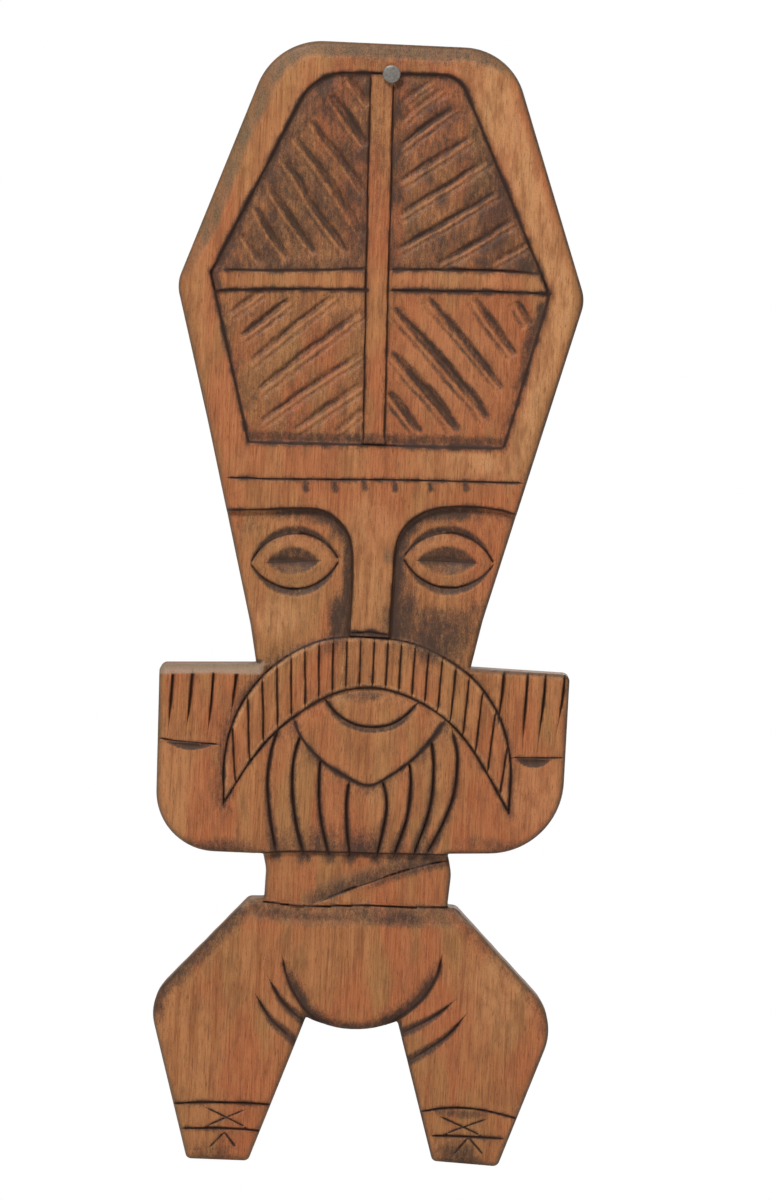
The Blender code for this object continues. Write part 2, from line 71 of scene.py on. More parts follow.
FIGURE_RIGHT = [
    (-38.8, 9.9, 23), (39, 10, 21), (67.8, -72, 12), (38.9, -180, 40), (35.6, -196.2, 0.6),
    (68.7, -196.8, 2.2), (68.3, -256.4, 25), (30.8, -258.4, 0.6),
    (32.4, -265, 12), (31.6, -276.2, 0.6), (34.6, -276.4, 3),
    (70, -311.8, 18), (52.4, -362.2, 2.2), (30.6, -361.4, 2), (16.8, -315.2, 0.5),
]
FIGURE_LEFT = [
    (-13.8, -315.2, 0.5), (-30.9, -364.2, 2), (-51.4, -364.4, 2), (-66.6, -311.8, 15),
    (-34.8, -276.4, 3), (-29.6, -276.2, 0.6), (-29.4, -266, 12), (-30.6, -261.2, 0.6),
    (-66.7, -261.3, 20), (-68, -199.4, 2.5), (-35.8, -197.9, 0.6), (-38.4, -184.7, 40),
    (-55.6, -118, 60), (-68, -72.6, 12),
]
BELLY_BOTTOM = (3.2, -318.6)

HAT_PANEL = [
    (-25.4, -0.6, 17), (-56.8, -68.6, 2), (-41.8, -124.2, 0),
    (43, -122.4, 0), (52.6, -84, 12), (55.8, -70.6, 3), (22.6, 0.7, 9),
]
# The four fields between the bars; the panel's outline bounds them on the outside.
HAT_FIELDS = [
    [(-6.9, 9, 0), (-5.4, -65, 0), (-30, -66.7, 0), (-70, -68, 0), (-70, 9, 0)],
    [(0.7, 9, 0), (70, 9, 0), (70, -63.6, 0), (2.1, -64.7, 0)],
    [(-5, -72, 0), (-3.5, -130, 0), (-70, -130, 0), (-70, -75.2, 0), (-30, -72.8, 0)],
    [(2.3, -71.5, 0), (70, -70, 0), (70, -130, 0), (3.5, -130, 0)],
]
BAR_LINES = [
    [(-6.9, -1), (-6.3, -30), (-5.4, -65), (-3.6, -122.4)],
    [(0.7, -3), (1.6, -35), (2.1, -65), (3.4, -121.6)],
]
CROSSBAR_LINES = [
    [(-53, -67.4), (-30, -66.6), (-5.6, -64.9)],
    [(-54.6, -74.4), (-30, -72.8), (-3.8, -71.9)],
    [(2.6, -64.8), (30, -63.6), (53, -63.7)],
    [(2.8, -71.6), (30, -70.8), (56.8, -70.2)],
]

# Gouge strokes over the hat's fields: the main groove's path, its width, the gap to the shallow
# groove below it, and how dark the stain and painted shadow in it are.
GOUGES = [
    ([(-14, -1.8), (-10.4, -6.6), (-6.8, -10.8)], 3, 2.6, 0.6),
    ([(-19.8, -7.6), (-14.4, -14.8), (-6.8, -24.4)], 4.4, 3, 1),
    ([(-26.4, -15.6), (-20, -24), (-13, -31.6), (-6.6, -40.6)], 3.4, 2.7, 0.85),
    ([(-31.8, -21.2), (-24.6, -29.4), (-16.4, -40), (-6.4, -54.8)], 3.6, 2.9, 0.9),
    ([(-34.8, -29.2), (-28.6, -37.4), (-22.6, -46.6), (-10.6, -61)], 3.7, 2.7, 0.95),
    ([(-38.8, -38.8), (-33, -47), (-22, -61.2)], 3.5, 2.7, 0.95),
    ([(-43.6, -45.4), (-38, -54), (-31, -63.2)], 3.2, 2.6, 0.9),
    ([(-47.2, -55), (-40.2, -64.8)], 2.8, 2.4, 0.8),
    ([(13.4, -1.6), (8, -5.4), (4, -9.4)], 1.8, 2.2, 0.4),
    ([(17.8, -3.6), (10, -9.6), (3.6, -15.6)], 2, 2.2, 0.45),
    ([(21.8, -9.6), (13.4, -15.6), (3.4, -24.5)], 2.8, 2.6, 1),
    ([(27.8, -18.8), (16, -27.2), (3.4, -36)], 2.6, 2.8, 0.9),
    ([(33.4, -26.4), (18.4, -37.2), (3.4, -47.4)], 2.6, 2.4, 0.85),
    ([(37.4, -36.8), (21, -47.6), (3.4, -58.8)], 2.8, 2.4, 0.95),
    ([(42.6, -46), (31, -54.2), (17.4, -62.6)], 2.6, 2.4, 0.9),
    ([(48.4, -53.4), (36.4, -61)], 2.2, 2.2, 0.65),
    ([(-39.6, -73.6), (-50.6, -82)], 2.4, 2.4, 0.6),
    ([(-30.2, -75.8), (-46.4, -89.4)], 3, 2.8, 0.9),
    ([(-15.6, -73.8), (-30, -86), (-43.6, -98.6)], 2.6, 2.8, 0.65),
    ([(-5.4, -78), (-22.6, -92), (-40.8, -107.8)], 2.8, 3, 0.7),
    ([(-5, -92.4), (-22, -104.4), (-39.4, -118)], 2.6, 2.6, 0.65),
    ([(-4.6, -102.4), (-15, -110.2), (-27.8, -120)], 2.6, 3, 0.65),
    ([(-4.2, -111), (-13.8, -120)], 2.2, 2.6, 0.5),
    ([(45, -73), (50.2, -81.2)], 2.6, 2.8, 0.85),
    ([(30.8, -72.6), (38.6, -82.6), (46, -91.8)], 3, 3, 0.9),
    ([(14.8, -73), (24, -82.5), (33, -92.5), (42.6, -103.6)], 3.2, 2.4, 0.95),
    ([(4, -76.6), (15, -88), (25, -98.5), (34, -108), (38.6, -114.8)], 4, 3.2, 1),
    ([(4, -91.6), (13, -101), (20, -108), (28.4, -118.2)], 4.2, 3.2, 1),
    ([(4, -105), (15.6, -118.8)], 3.4, 3, 0.95),
]
FIELD_STAINS = (0.58, 0.57, 0.3, 0.13)

BAND_LINE = [(-48.8, -136.4), (-27, -136), (0, -134.8), (33, -134), (50.6, -133.6)]
BAND_NICKS = [(-22, -137.6), (-12.4, -137.2), (-2.6, -136.2), (7.4, -136.2), (19.4, -135.4), (31, -134.8)]

BROW_LEFT = [(-47.8, -147.2), (-36, -146.4), (-25, -145.6), (-17, -145.8), (-11.6, -148.4),
             (-7.6, -152.8), (-5.7, -158.5), (-5.1, -168), (-5.2, -187.4)]
BROW_RIGHT = [(49, -144.4), (42, -142.8), (31, -142.3), (21.6, -143.5), (15, -146.6),
              (10.6, -151.2), (8.8, -157), (8.3, -168), (8.1, -187.4)]

NOSE_FOOT = [(-5, -186.3), (1.5, -185.6), (7.9, -186.3)]

# Eyes and pupils: first tip, top, second tip, bottom.
EYES = [[(-39.2, -164.6), (-24.4, -153.9), (-9.8, -162.2), (-24.8, -172.4)],
        [(11.4, -160.4), (26.2, -151.4), (41.6, -161), (26.4, -169.6)]]
PUPILS = [[(-34.8, -164.2), (-24.8, -157.8), (-15.6, -162.6), (-25, -168.2)],
          [(15.4, -161), (26, -155.2), (36.8, -161), (26.2, -166)]]
EYELID_WIDTH = 3.0

MOUSTACHE_TOP = [(-44.4, -245), (-44.9, -232), (-43.2, -220), (-38.4, -208.6), (-29, -197.4),
                 (-14, -189), (2.5, -187.3), (18.5, -189.4), (34, -197.4), (42.4, -206.2),
                 (47.6, -216), (50.4, -228), (50.6, -243.8)]
MOUSTACHE_FOOT = [(-44.4, -245), (-38, -233.4), (-30.6, -223), (-22.6, -215.2), (-10, -206.9),
                  (3, -204.2), (15, -206.4), (27.6, -213.2), (38, -224), (50.6, -243.8)]
MOUSTACHE_CUTS = 21
MOUSTACHE_CUT_PITCH = 4.5
MOUSTACHE_MIDDLE = 3.2
MOUSTACHE_CUT_LEAN = 0.09
LIP_FOOT = [(-12.8, -208.2), (-8.4, -213.2), (-2.6, -216.4), (3.2, -217.2), (9.4, -216.2),
            (14.6, -213), (18.8, -208.2)]
CHIN_FOOT = [(-22.4, -215.4), (-20, -221.4), (-13.6, -228.4), (-5.6, -233.6), (3.2, -236.8),
             (10.6, -233), (18.2, -227), (24, -220), (28, -213.6)]
BEARD_CUTS = [
    [(-27, -218.4), (-29.2, -226), (-30.2, -237), (-28.9, -248.5), (-26.2, -261)],
    [(-19.6, -219.8), (-21.8, -229), (-21.8, -240), (-20.2, -250), (-16.8, -261.4)],
    [(-13, -228), (-13, -238), (-12, -248), (-8.6, -261.2)],
    [(-3, -235.4), (-3.6, -243), (-3, -251), (-1.6, -261)],
    [(8, -234.6), (9.7, -241), (9.4, -249), (7.2, -260.6)],
    [(16.6, -227.6), (17.6, -236), (16.6, -248), (12.8, -260.4)],
    [(23.6, -220), (24.9, -230), (24.2, -244), (19.4, -260)],
    [(30.2, -216.4), (32.7, -226), (32, -238.6), (28.4, -249.4), (23.6, -259.4)],
]
FINGER_CUTS = [
    [(-62.9, -193), (-63.4, -208), (-64.3, -223.6)], [(-56.7, -193), (-57, -208), (-58.2, -223.2)],
    [(-49.6, -193), (-50, -208), (-51, -224)], [(-42.2, -192.6), (-42.2, -203), (-43.6, -217)],
    [(46.9, -190), (46.6, -202), (45.4, -216)], [(54.9, -190), (54.5, -205), (53.8, -222.6)],
    [(60.9, -190), (60.4, -205), (58.8, -223)], [(67.2, -190), (66.8, -203), (65, -216.4)],
]
WRISTS = [[(-67.4, -224.2), (-60, -224.9), (-46.6, -225.4)],
          [(50.6, -225.2), (57, -225), (68.2, -224.4)]]
WRIST_SCOOPS = [[(-65, -225), (-56.6, -224.9), (-48.6, -225.4), (-56.6, -227.8)],
                [(51.4, -225.2), (57.6, -225), (64.4, -224.8), (57.6, -228.4)]]
WAIST_TOP = [(-31, -260.9), (-20, -259.9), (0, -259.4), (30.8, -258.6)]
WAIST_FOOT = [(-29.6, -277.2), (-15, -278), (2, -277), (31.6, -276.4)]
SASH_LINE = [(-11.5, -276.6), (-2, -272.2), (12, -266.6), (24, -262.4), (31.4, -260.8)]
BELLY_CUTS = [[(-22.8, -294.6), (-20.8, -301.6), (-17.4, -308.2), (-12.6, -314.2), (-7.6, -317.6)],
              [(30.6, -291.6), (29.2, -299.2), (25.4, -306.4), (19.6, -312.2), (13.6, -316.2)]]
GROIN_CUTS = [[(-27.4, -301.6), (-22.6, -309.4), (-17, -314.6), (-12.6, -317.4)],
              [(-31.8, -307), (-25.8, -316), (-20.4, -320.6), (-17.2, -323.4)],
              [(36.4, -306.4), (29.4, -312.6), (22.4, -316.8), (17.6, -319.4)],
              [(40.4, -310.6), (34, -318.8), (27, -324.2), (20.4, -328.6)]]
ANKLE_LINES = [
    [(-57.4, -346), (-47, -345.2), (-36, -344.9), (-23.6, -344.8)],
    [(-53.6, -354.2), (-40, -353.6), (-26.4, -353.8)],
    [(25.6, -345), (34, -343.4), (45, -343.2), (59, -345.8)],
    [(29.6, -352.8), (42, -352.6), (54.4, -352.6)],
]
ANKLE_CROSSES = [
    [(-46.4, -346.6), (-31.4, -353.2)], [(-32.2, -346.8), (-45.6, -353.2)],
    [(31.4, -345.8), (47.2, -352.2)], [(48.6, -346), (33.6, -352.4)],
    [(-39.2, -354.8), (-44.2, -360.4)], [(-39.2, -354.8), (-35, -360)],
    [(42.3, -352.8), (37.4, -359)], [(42.3, -352.8), (47.8, -358.6)],
]

# The left hand's top edge: a point on it and its slope. Its facet, painted pale as a highlight, reaches
# this far below it.
HAND_TOP = (-52, -198.65)
HAND_TOP_SLOPE = 0.0466
HAND_FACET_REACH = 3.5

# Smudges of stain beside the nose, partly painted shadow of the nose on its right, and on the
# right cheek, at the hems and on the feet, and patches worn pale: the centre, the reach along x
# and z, and the strength.
STAIN_AND_SHADOW_PATCHES = [
    ((-10, -189), (11, 7), 0.4), ((-28, -194), (9, 6), 0.4), ((25, -187), (18, 14), 0.8),
    ((20, -190), (13, 9), 0.9), ((12.6, -180), (8.8, 17.5), 0.86), ((20.5, -186), (10, 11), 0.8),
    ((35, -179), (8, 11), 0.45), ((-9, -182), (6.4, 14), 0.98), ((-20, -148.6), (13, 3.4), 0.6),
    ((-24, -280.4), (10, 3.4), 0.66), ((17, -280.8), (14, 4.2), 0.76), ((-24.5, -163), (15, 9), 0.2),
    ((30, -145.4), (14, 2.6), 0.5), ((-40, -151), (8, 4), 0.35), ((4, 5), (50, 9), 0.36),
    ((-2.8, -24), (6, 44), 0.36), ((-45, -259.4), (20, 4), 0.62), ((48, -255.4), (20, 3.8), 0.5),
    ((42, -359.5), (13, 7.6), 0.74), ((-41, -361), (12, 6), 0.55), ((41, -344.6), (16, 2.6), 0.6),
]
WORN_PATCHES = [
    ((-30, -182), (13, 9), 0.6), ((1.5, -172), (8, 26), 0.3), ((52, -304), (16, 20), 0.45),
    ((58, -238), (13, 16), 0.42), ((28, -67), (30, 4), 0.35), ((-60, -238), (10, 22), 0.15),
    ((24, -96), (24, 24), 0.3), ((1.5, -150), (13, 13), 0.3),
]
GREY_SCUFF = ((6.4, -160), (1.8, 3.6), 0.7)
HAT_HEM = [(-41.6, -122.4), (42.9, -120.8)]
# The lip's upper part, darkened as painted shadow under the moustache.
LIP_SHADE = [(-9.5, -206.6), (3, -204.4), (9.5, -205.6), (3, -209.6)]

# How deep each sunk part lies, and how much deeper it is beside the edge that it was cut back from.
# An eye's ball rises from its own depth by the crown.
FIELD_DEPTH, FIELD_EDGE_DEPTH = 0.7, 1.0
CHEEK_DEPTH, CHEEK_EDGE_DEPTH = 1.1, 1.3
MOUTH_DEPTH, MOUTH_EDGE_DEPTH = 0.35, 0.9
BEARD_DEPTH, BEARD_EDGE_DEPTH = 0.25, 1.1
WAIST_DEPTH = 1.9
EYE_DEPTH, EYE_CROWN = 1.7, 1.0
EYELID_DEPTH = 1.5
PUPIL_SLOPE = 0.42

NAIL_HEAD_THICKNESS = 1.2
NAIL_SHANK_RADIUS = 1.5
NAIL_GRIP_RADIUS = 1.42
NAIL_GRIPS = 5
NAIL_GRIP_PITCH = 0.9

# The camera, the lights and the floor, in metres; the lens is in millimetres. A light is its name,
# its place, the width of its disk and its power in watts.
CAMERA_TARGET = (0.0062, BOARD_FRONT * MM, -0.1746)
CAMERA_DISTANCE = 3.0
CAMERA_ELEVATION = math.radians(3.0)
CAMERA_ROLL = math.radians(2.7)
CAMERA_LENS = 270.5
LIT_POINT = (0.0, 0.0, -0.175)
LIGHTS = [
    ("key", (-0.5, -1.05, 1.2), 0.4, 27.0),
    ("fill", (1.2, -1.2, 0.1), 1.2, 4.0),
    ("back", (0.5, 1.6, 0.6), 1.2, 10.0),
]
WORLD_STRENGTH = 0.36
FLOOR_REACH = 6.0
FLOOR_GAP = 0.003
WHITE = (1, 1, 1, 1)
PALE_GREY = (0.8, 0.8, 0.8, 1)


# Plane geometry

def rounded(corners):
    """The outline through these corners, each one rounded to its own radius."""
    outline = []
    for index, (x, z, radius) in enumerate(corners):
        corner = np.array((x, z))
        if radius == 0:
            outline.append(corner)
            continue
        before = np.array(corners[index - 1][:2]) - corner
        after = np.array(corners[(index + 1) % len(corners)][:2]) - corner
        before, after = before / np.hypot(*before), after / np.hypot(*after)
        half = math.acos(float(before @ after)) / 2
        bisector = (before + after) / np.hypot(*(before + after))
        centre = corner + bisector * radius / math.sin(half)
        start = corner + before * radius / math.tan(half) - centre
        end = corner + after * radius / math.tan(half) - centre
        turn = math.atan2(start[0] * end[1] - start[1] * end[0], float(start @ end))
        steps = max(2, round(abs(math.degrees(turn)) / ARC_STEP_DEGREES))
        for angle in turn * np.arange(steps + 1) / steps:
            c, s = math.cos(angle), math.sin(angle)
            outline.append(centre + (start[0] * c - start[1] * s, start[0] * s + start[1] * c))
    return np.array(outline)


def arc(start, through, end, steps=24):
    """Points on the circle through three points, from the first to the last."""
    (ax, ay), (bx, by), (cx, cy) = start, through, end
    d = 2 * (ax * (by - cy) + bx * (cy - ay) + cx * (ay - by))
    aa, bb, cc = ax * ax + ay * ay, bx * bx + by * by, cx * cx + cy * cy
    x = (aa * (by - cy) + bb * (cy - ay) + cc * (ay - by)) / d
    y = (aa * (cx - bx) + bb * (ax - cx) + cc * (bx - ax)) / d
    first, middle, last = (math.atan2(py - y, px - x) for px, py in (start, through, end))
    full = 2 * math.pi
    sweep = (last - first) % full
    if (middle - first) % full > sweep:
        sweep -= full
    angles = first + sweep * np.arange(steps + 1) / steps
    radius = math.hypot(ax - x, ay - y)
    return np.stack([x + radius * np.cos(angles), y + radius * np.sin(angles)], axis=1)


def smooth(knots, steps=8):
    """A smooth curve (Catmull-Rom) through the knots."""
    knots = np.array(knots, float)
    ends = np.vstack([2 * knots[0] - knots[1], knots, 2 * knots[-1] - knots[-2]])
    t = (np.arange(steps) / steps)[:, None]
    curve = [
        0.5 * (2 * b + (c - a) * t + (2 * a - 5 * b + 4 * c - d) * t**2 + (3 * b - a - 3 * c + d) * t**3)
        for a, b, c, d in zip(ends, ends[1:], ends[2:], ends[3:])
    ]
    return np.vstack(curve + [knots[-1:]])


def smoothed(paths):
    return [smooth(path) for path in paths]


def lens(tips):
    """A pointed oval: first tip, top, second tip, bottom."""
    first, top, second, bottom = tips
    return np.vstack([arc(first, top, second)[:-1], arc(second, bottom, first)[:-1]])


def path_distance(at, path):
    """Distance to a path, how far along it (0 to 1) the nearest point is, which side, and that point."""
    path = np.asarray(path, float)
    lengths = np.hypot(*np.diff(path, axis=0).T)
    starts = np.concatenate([[0], np.cumsum(lengths)])
    best = np.full(len(at), np.inf)
    along, side, foot = np.zeros(len(at)), np.ones(len(at)), np.zeros((len(at), 2))
    for a, b, length, start in zip(path, path[1:], lengths, starts):
        line = (b - a) / length
        t = np.clip((at - a) @ line, 0, length)
        near = a + t[:, None] * line
        gap = at - near
        far = np.hypot(gap[:, 0], gap[:, 1])
        closer = far < best
        best[closer] = far[closer]
        along[closer] = (start + t[closer]) / starts[-1]
        side[closer] = np.sign(line[0] * gap[closer, 1] - line[1] * gap[closer, 0])
        foot[closer] = near[closer]
    return best, along, side, foot


def inside_distance(at, outline):
    """Distance to a closed outline, positive inside it, and the nearest point on it."""
    closed = np.vstack([outline, outline[:1]])
    far, _, _, foot = path_distance(at, closed)
    inside = np.zeros(len(at), bool)
    x, z = at.T
    for (ax, az), (bx, bz) in zip(closed, closed[1:]):
        if az != bz:
            inside ^= ((az > z) != (bz > z)) & (x < (bx - ax) * (z - az) / (bz - az) + ax)
    return np.where(inside, far, -far), foot


def ramp(value, low, high):
    """0 at low, 1 at high, eased at both ends."""
    t = np.clip((value - low) / (high - low), 0, 1)
    return t * t * (3 - 2 * t)


def fall(value, low, high):
    """1 at low, 0 at high, eased at both ends."""
    return 1 - ramp(value, low, high)


def cone(far, reach):
    """1 at no distance, and straight down to 0 at this reach."""
    return np.clip(1 - far / reach, 0, 1)


def inward(deep, reach):
    """0 outside a region, given the distance inside it, and 1 from this reach on."""
    return ramp(deep, -0.1, reach)


def raise_to(values, index, amount):
    """Brings these values up to an amount where they are lower."""
    values[index] = np.maximum(values[index], amount)


def soft_noise(at, size_x, size_z, seed):
    """Smooth random heights between -1 and 1, with bumps of about this size."""
    cells = 256
    far_off = (120.3, 160.7)
    table = np.random.RandomState(seed).uniform(-1, 1, (cells + 1, cells + 1))
    u, v = at[:, 0] / size_x + far_off[0], at[:, 1] / size_z + far_off[1]
    i, j = np.floor(u).astype(int), np.floor(v).astype(int)
    fu, fv = ramp(u - i, 0, 1), ramp(v - j, 0, 1)
    i, j = i % cells, j % cells
    low = table[i, j] * (1 - fu) + table[i + 1, j] * fu
    high = table[i, j + 1] * (1 - fu) + table[i + 1, j + 1] * fu
    return low * (1 - fv) + high * fv


def figure_outline():
    belly = arc(FIGURE_RIGHT[-1][:2], BELLY_BOTTOM, FIGURE_LEFT[0][:2], 12)[1:-1]
    return rounded(FIGURE_RIGHT + [(x, z, 0) for x, z in belly] + FIGURE_LEFT)


def height_at(curve, x):
    """The z at which a curve passes this x."""
    order = np.argsort(curve[:, 0])
    return float(np.interp(x, curve[order, 0], curve[order, 1]))


def moustache_cuts():
    top, foot = smooth(MOUSTACHE_TOP), smooth(MOUSTACHE_FOOT)
    cuts = []
    for index in range(MOUSTACHE_CUTS):
        step = index - (MOUSTACHE_CUTS - 1) / 2
        x = MOUSTACHE_MIDDLE + step * MOUSTACHE_CUT_PITCH
        lean = MOUSTACHE_CUT_LEAN * step
        upper, lower = height_at(top, x + lean), height_at(foot, x - lean)
        cuts.append([(x + lean, upper - 0.6), (x, (upper + lower) / 2), (x - lean, lower + 0.5)])
    return cuts


def hand_cut(path):
    """The path in short steps, wandering a little from side to side as a knife does."""
    lengths = np.hypot(*np.diff(path, axis=0).T)
    starts = np.concatenate([[0], np.cumsum(lengths)])
    steps = np.linspace(0, starts[-1], max(3, int(starts[-1] / 1.2)))
    path = np.stack([np.interp(steps, starts, path[:, 0]), np.interp(steps, starts, path[:, 1])], axis=1)
    return path + 0.11 * np.stack([soft_noise(path, 8, 8, seed) for seed in (91, 92)], axis=1)


def knife_lines():
    """Every thin V-shaped line: its path, width, depth, how far its ends fade, and its halo of stain."""
    panel = rounded(HAT_PANEL)
    eyelids = [half for a, b, c, d in EYES for half in (arc(a, b, c), arc(c, d, a))]
    cuts = [
        ([np.vstack([panel, panel[:1]])], 1.25, 1, 0, 0.8),
        (smoothed(BAR_LINES), 0.9, 0.9, 0.01, 0.45),
        (smoothed(CROSSBAR_LINES), 1.35, 0.8, 0.02, 0.75),
        (smoothed([BAND_LINE]), 1, 0.6, 0.02, 0.6),
        (smoothed([BROW_LEFT, BROW_RIGHT]), 1, 0.7, 0, 0.5),
        ([np.array([tips[0], tips[2]]) for tips in PUPILS], 0.6, 0.3, 0.45, 0.5),
        ([np.array(NOSE_FOOT)], 1.5, 0.8, 0.05, 0.9),
        (eyelids, 0.9, 0.8, 0.03, 0.5),
        (smoothed([MOUSTACHE_TOP]), 0.9, 0.8, 0, 0.6),
        (smoothed([MOUSTACHE_FOOT]), 1, 0.9, 0, 0.6),
        (smoothed(moustache_cuts()), 0.85, 0.8, 0.08, 0.4),
        (smoothed([LIP_FOOT]), 1.2, 1, 0.06, 0.7),
        (smoothed([CHIN_FOOT]), 1.4, 1.1, 0.03, 0.75),
        (smoothed(BEARD_CUTS), 1.3, 1, 0.07, 0.55),
        (smoothed(FINGER_CUTS), 1.2, 1.3, 0.42, 0.3),
        (smoothed(WRISTS), 0.8, 0.6, 0.08, 0.4),
        (smoothed([WAIST_TOP]), 0.8, 0.5, 0, 0.5),
        (smoothed([WAIST_FOOT]), 0.8, 0.6, 0, 0.5),
        (smoothed([SASH_LINE]), 0.9, 0.6, 0.1, 0.4),
        (smoothed(BELLY_CUTS), 1.3, 1.1, 0.12, 0.5),
        (smoothed(GROIN_CUTS), 1.2, 1, 0.25, 0.5),
        (smoothed(ANKLE_LINES), 1.1, 0.8, 0.05, 0.5),
        ([np.array(path) for path in ANKLE_CROSSES], 0.8, 0.6, 0.18, 0.35),
    ]
    return [(hand_cut(path), *cut) for paths, *cut in cuts for path in paths]


def near_path(at, path, margin):
    """Indices of the vertices in the box round a path."""
    low, high = np.min(path, axis=0) - margin, np.max(path, axis=0) + margin
    return np.flatnonzero(np.all((at >= low) & (at <= high), axis=1))


# The relief

class Relief:
    """Depth below the front face and the finish of every vertex of the front, in millimetres; the finish
    includes painted shade and painted highlights.
    """

    def __init__(self, at, edge):
        self.at = at
        self.edge = edge
        self.level = np.zeros(len(at))
        self.cut = np.zeros(len(at))
        self.line = np.full(len(at), NO_LINE)
        self.stain_and_shade = np.zeros(len(at))
        self.grey = np.zeros(len(at))
        self.worn_and_highlight = np.zeros(len(at))
        self.painted_top_highlight = np.zeros(len(at))

    def within(self, outline, margin=0):
        index = near_path(self.at, outline, margin)
        return index, inside_distance(self.at[index], outline)[0]

    def along(self, path, margin):
        index = near_path(self.at, path, margin)
        return (index,) + path_distance(self.at[index], path)[:3]

    def patch(self, centre, size):
        """Each vertex's x and z from a patch's centre, as shares of the patch's reach along each."""
        x, z = self.at.T
        return (x - centre[0]) / size[0], (z - centre[1]) / size[1]

    def noise(self, index, size_x, size_z, seed):
        return soft_noise(self.at[index], size_x, size_z, seed)

    def deepen(self, index, depth):
        raise_to(self.cut, index, depth)

    def darken(self, index, amount):
        raise_to(self.stain_and_shade, index, amount)

    def dull(self, index, amount):
        raise_to(self.grey, index, amount)

    def wear_and_highlight(self, index, amount):
        raise_to(self.worn_and_highlight, index, amount)

    def paint_top_highlight(self, index, amount):
        raise_to(self.painted_top_highlight, index, amount)

    def knife(self, path, width, depth, fade, halo):
        index, far, t, _ = self.along(path, width * 2)
        ends = np.minimum(t, 1 - t)
        kept = ramp(ends, -0.001, fade) if fade else np.ones(len(t))
        half = width / 2 * (0.35 + 0.65 * kept) * (1 + 0.35 * self.noise(index, 4, 4, 36))
        self.deepen(index, depth * kept * cone(far, half))
        self.line[index] = np.minimum(self.line[index], far / half + (1 - kept) * 0.5)
        mottled = 1 + 0.5 * self.noise(index, 3, 3, 35)
        self.darken(index, halo * kept * mottled * np.exp(-np.clip(far - half, 0, 9) / 0.8))

    def gouge(self, path, width, gap, dark):
        """A dark groove, a thin ridge below it, and a shallow groove below that; the dark is partly stain,
        partly painted shadow, and the ridge has a painted highlight.
        """
        path = smooth(path) if len(path) > 2 else np.array(path)
        index, far, t, side = self.along(path, gap + 3.5)
        rightward = path[-1, 0] > path[0, 0]
        down = far * (-side if rightward else side) + 0.18 * self.noise(index, 3, 3, 33)
        kept = ramp(t, -0.02, 0.06) * ramp(1 - t, -0.02, 0.08)
        length = np.hypot(*np.diff(path, axis=0).T).sum()
        streaks = soft_noise(np.stack([t * length + 9 * path[0, 1], down], axis=1), 6, 0.5, 31)
        swell = np.sqrt(np.sin(np.pi * np.clip(t, 0.02, 0.98)))
        half = width / 2 * (0.4 + 0.75 * swell)
        main = np.clip(1 - np.abs(down) / half, 0, 0.85)
        minor = np.clip(1 - np.abs(down - gap), 0, 0.85)
        self.deepen(index, kept * np.maximum(0.42 * width * main * swell, 0.6 * minor) * (1 + 0.15 * streaks))
        ridge = np.exp(-(((down - gap * 0.58) / 0.5) ** 2))
        self.level[index] += 0.5 * kept * np.exp(-(((down - 0.8) / 2.4) ** 2)) - 0.15 * kept * ridge
        # The ridge is lightened with a painted highlight.
        self.wear_and_highlight(index, 0.3 * kept * ridge)
        # The grooves are darkened partly with stain and partly with painted shadow.
        deep_stain_and_shadow = fall(np.abs(down + 0.1), 0.35 * half, 1.45 * half)
        low_stain_and_shadow = 0.8 * fall(np.abs(down - gap), 0.2, 1.3)
        halo = 0.42 * np.exp(-np.abs(down + 0.8) / 2.2) * (1 - ridge)
        pooled = np.maximum(deep_stain_and_shadow * (0.7 + 0.35 * swell), low_stain_and_shadow * swell) * (0.86 + 0.34 * streaks)
        self.darken(index, dark * kept * np.clip(pooled, halo, 1))
        self.stain_and_shade[index] *= 1 - 0.4 * kept * ridge


def carve_rims(relief):
    """The hat's rasped outer facet, wider on the left and along the top, and the worn rim inside it."""
    x, z = relief.at.T
    hat = ramp(z, -138, -128)
    left_or_top = np.maximum(ramp(-x, 5, 30) * (0.3 + 0.7 * ramp(z, -72, -52)), ramp(z, -2, 6))
    wavy = 1 + 0.16 * relief.noise(ALL, 9, 14, 51)
    wide = (1.8 + 4.2 * left_or_top) * wavy
    facet = cone(relief.edge, wide)
    relief.level += facet * hat * (0.5 + 1.1 * left_or_top)
    hips = ramp(-z, 277, 281) * ramp(z, -325, -312) * ramp(np.abs(x - 1), 30, 36)
    slope = cone(relief.edge, 5.5 * wavy)
    relief.level += 1.3 * slope * hips
    relief.darken(ALL, hips * ramp(slope, 0, 0.7) * (0.38 + 0.3 * ramp(-x, -10, 10)))
    relief.level += 0.5 * fall(relief.edge, 0, 2.5) * (1 - hat)
    relief.dull(ALL, hat * left_or_top * ramp(facet, 0, 0.4))
    relief.dull(ALL, fall(relief.edge, 0.4, 1.8) * 0.8)
    # Painted shade along the rounded edge, stronger towards the right, away from the light.
    relief.darken(ALL, fall(relief.edge, 0.1, 1.3) * (0.3 + 0.35 * ramp(x, -30, 20)))
    to_panel = -inside_distance(relief.at, rounded(HAT_PANEL))[0]
    rim = hat * ramp(to_panel, 1, 2.6) * ramp(relief.edge, 1.5, 4)
    relief.wear_and_highlight(ALL, rim * (0.12 + 0.62 * ramp(x, 5, 40)))


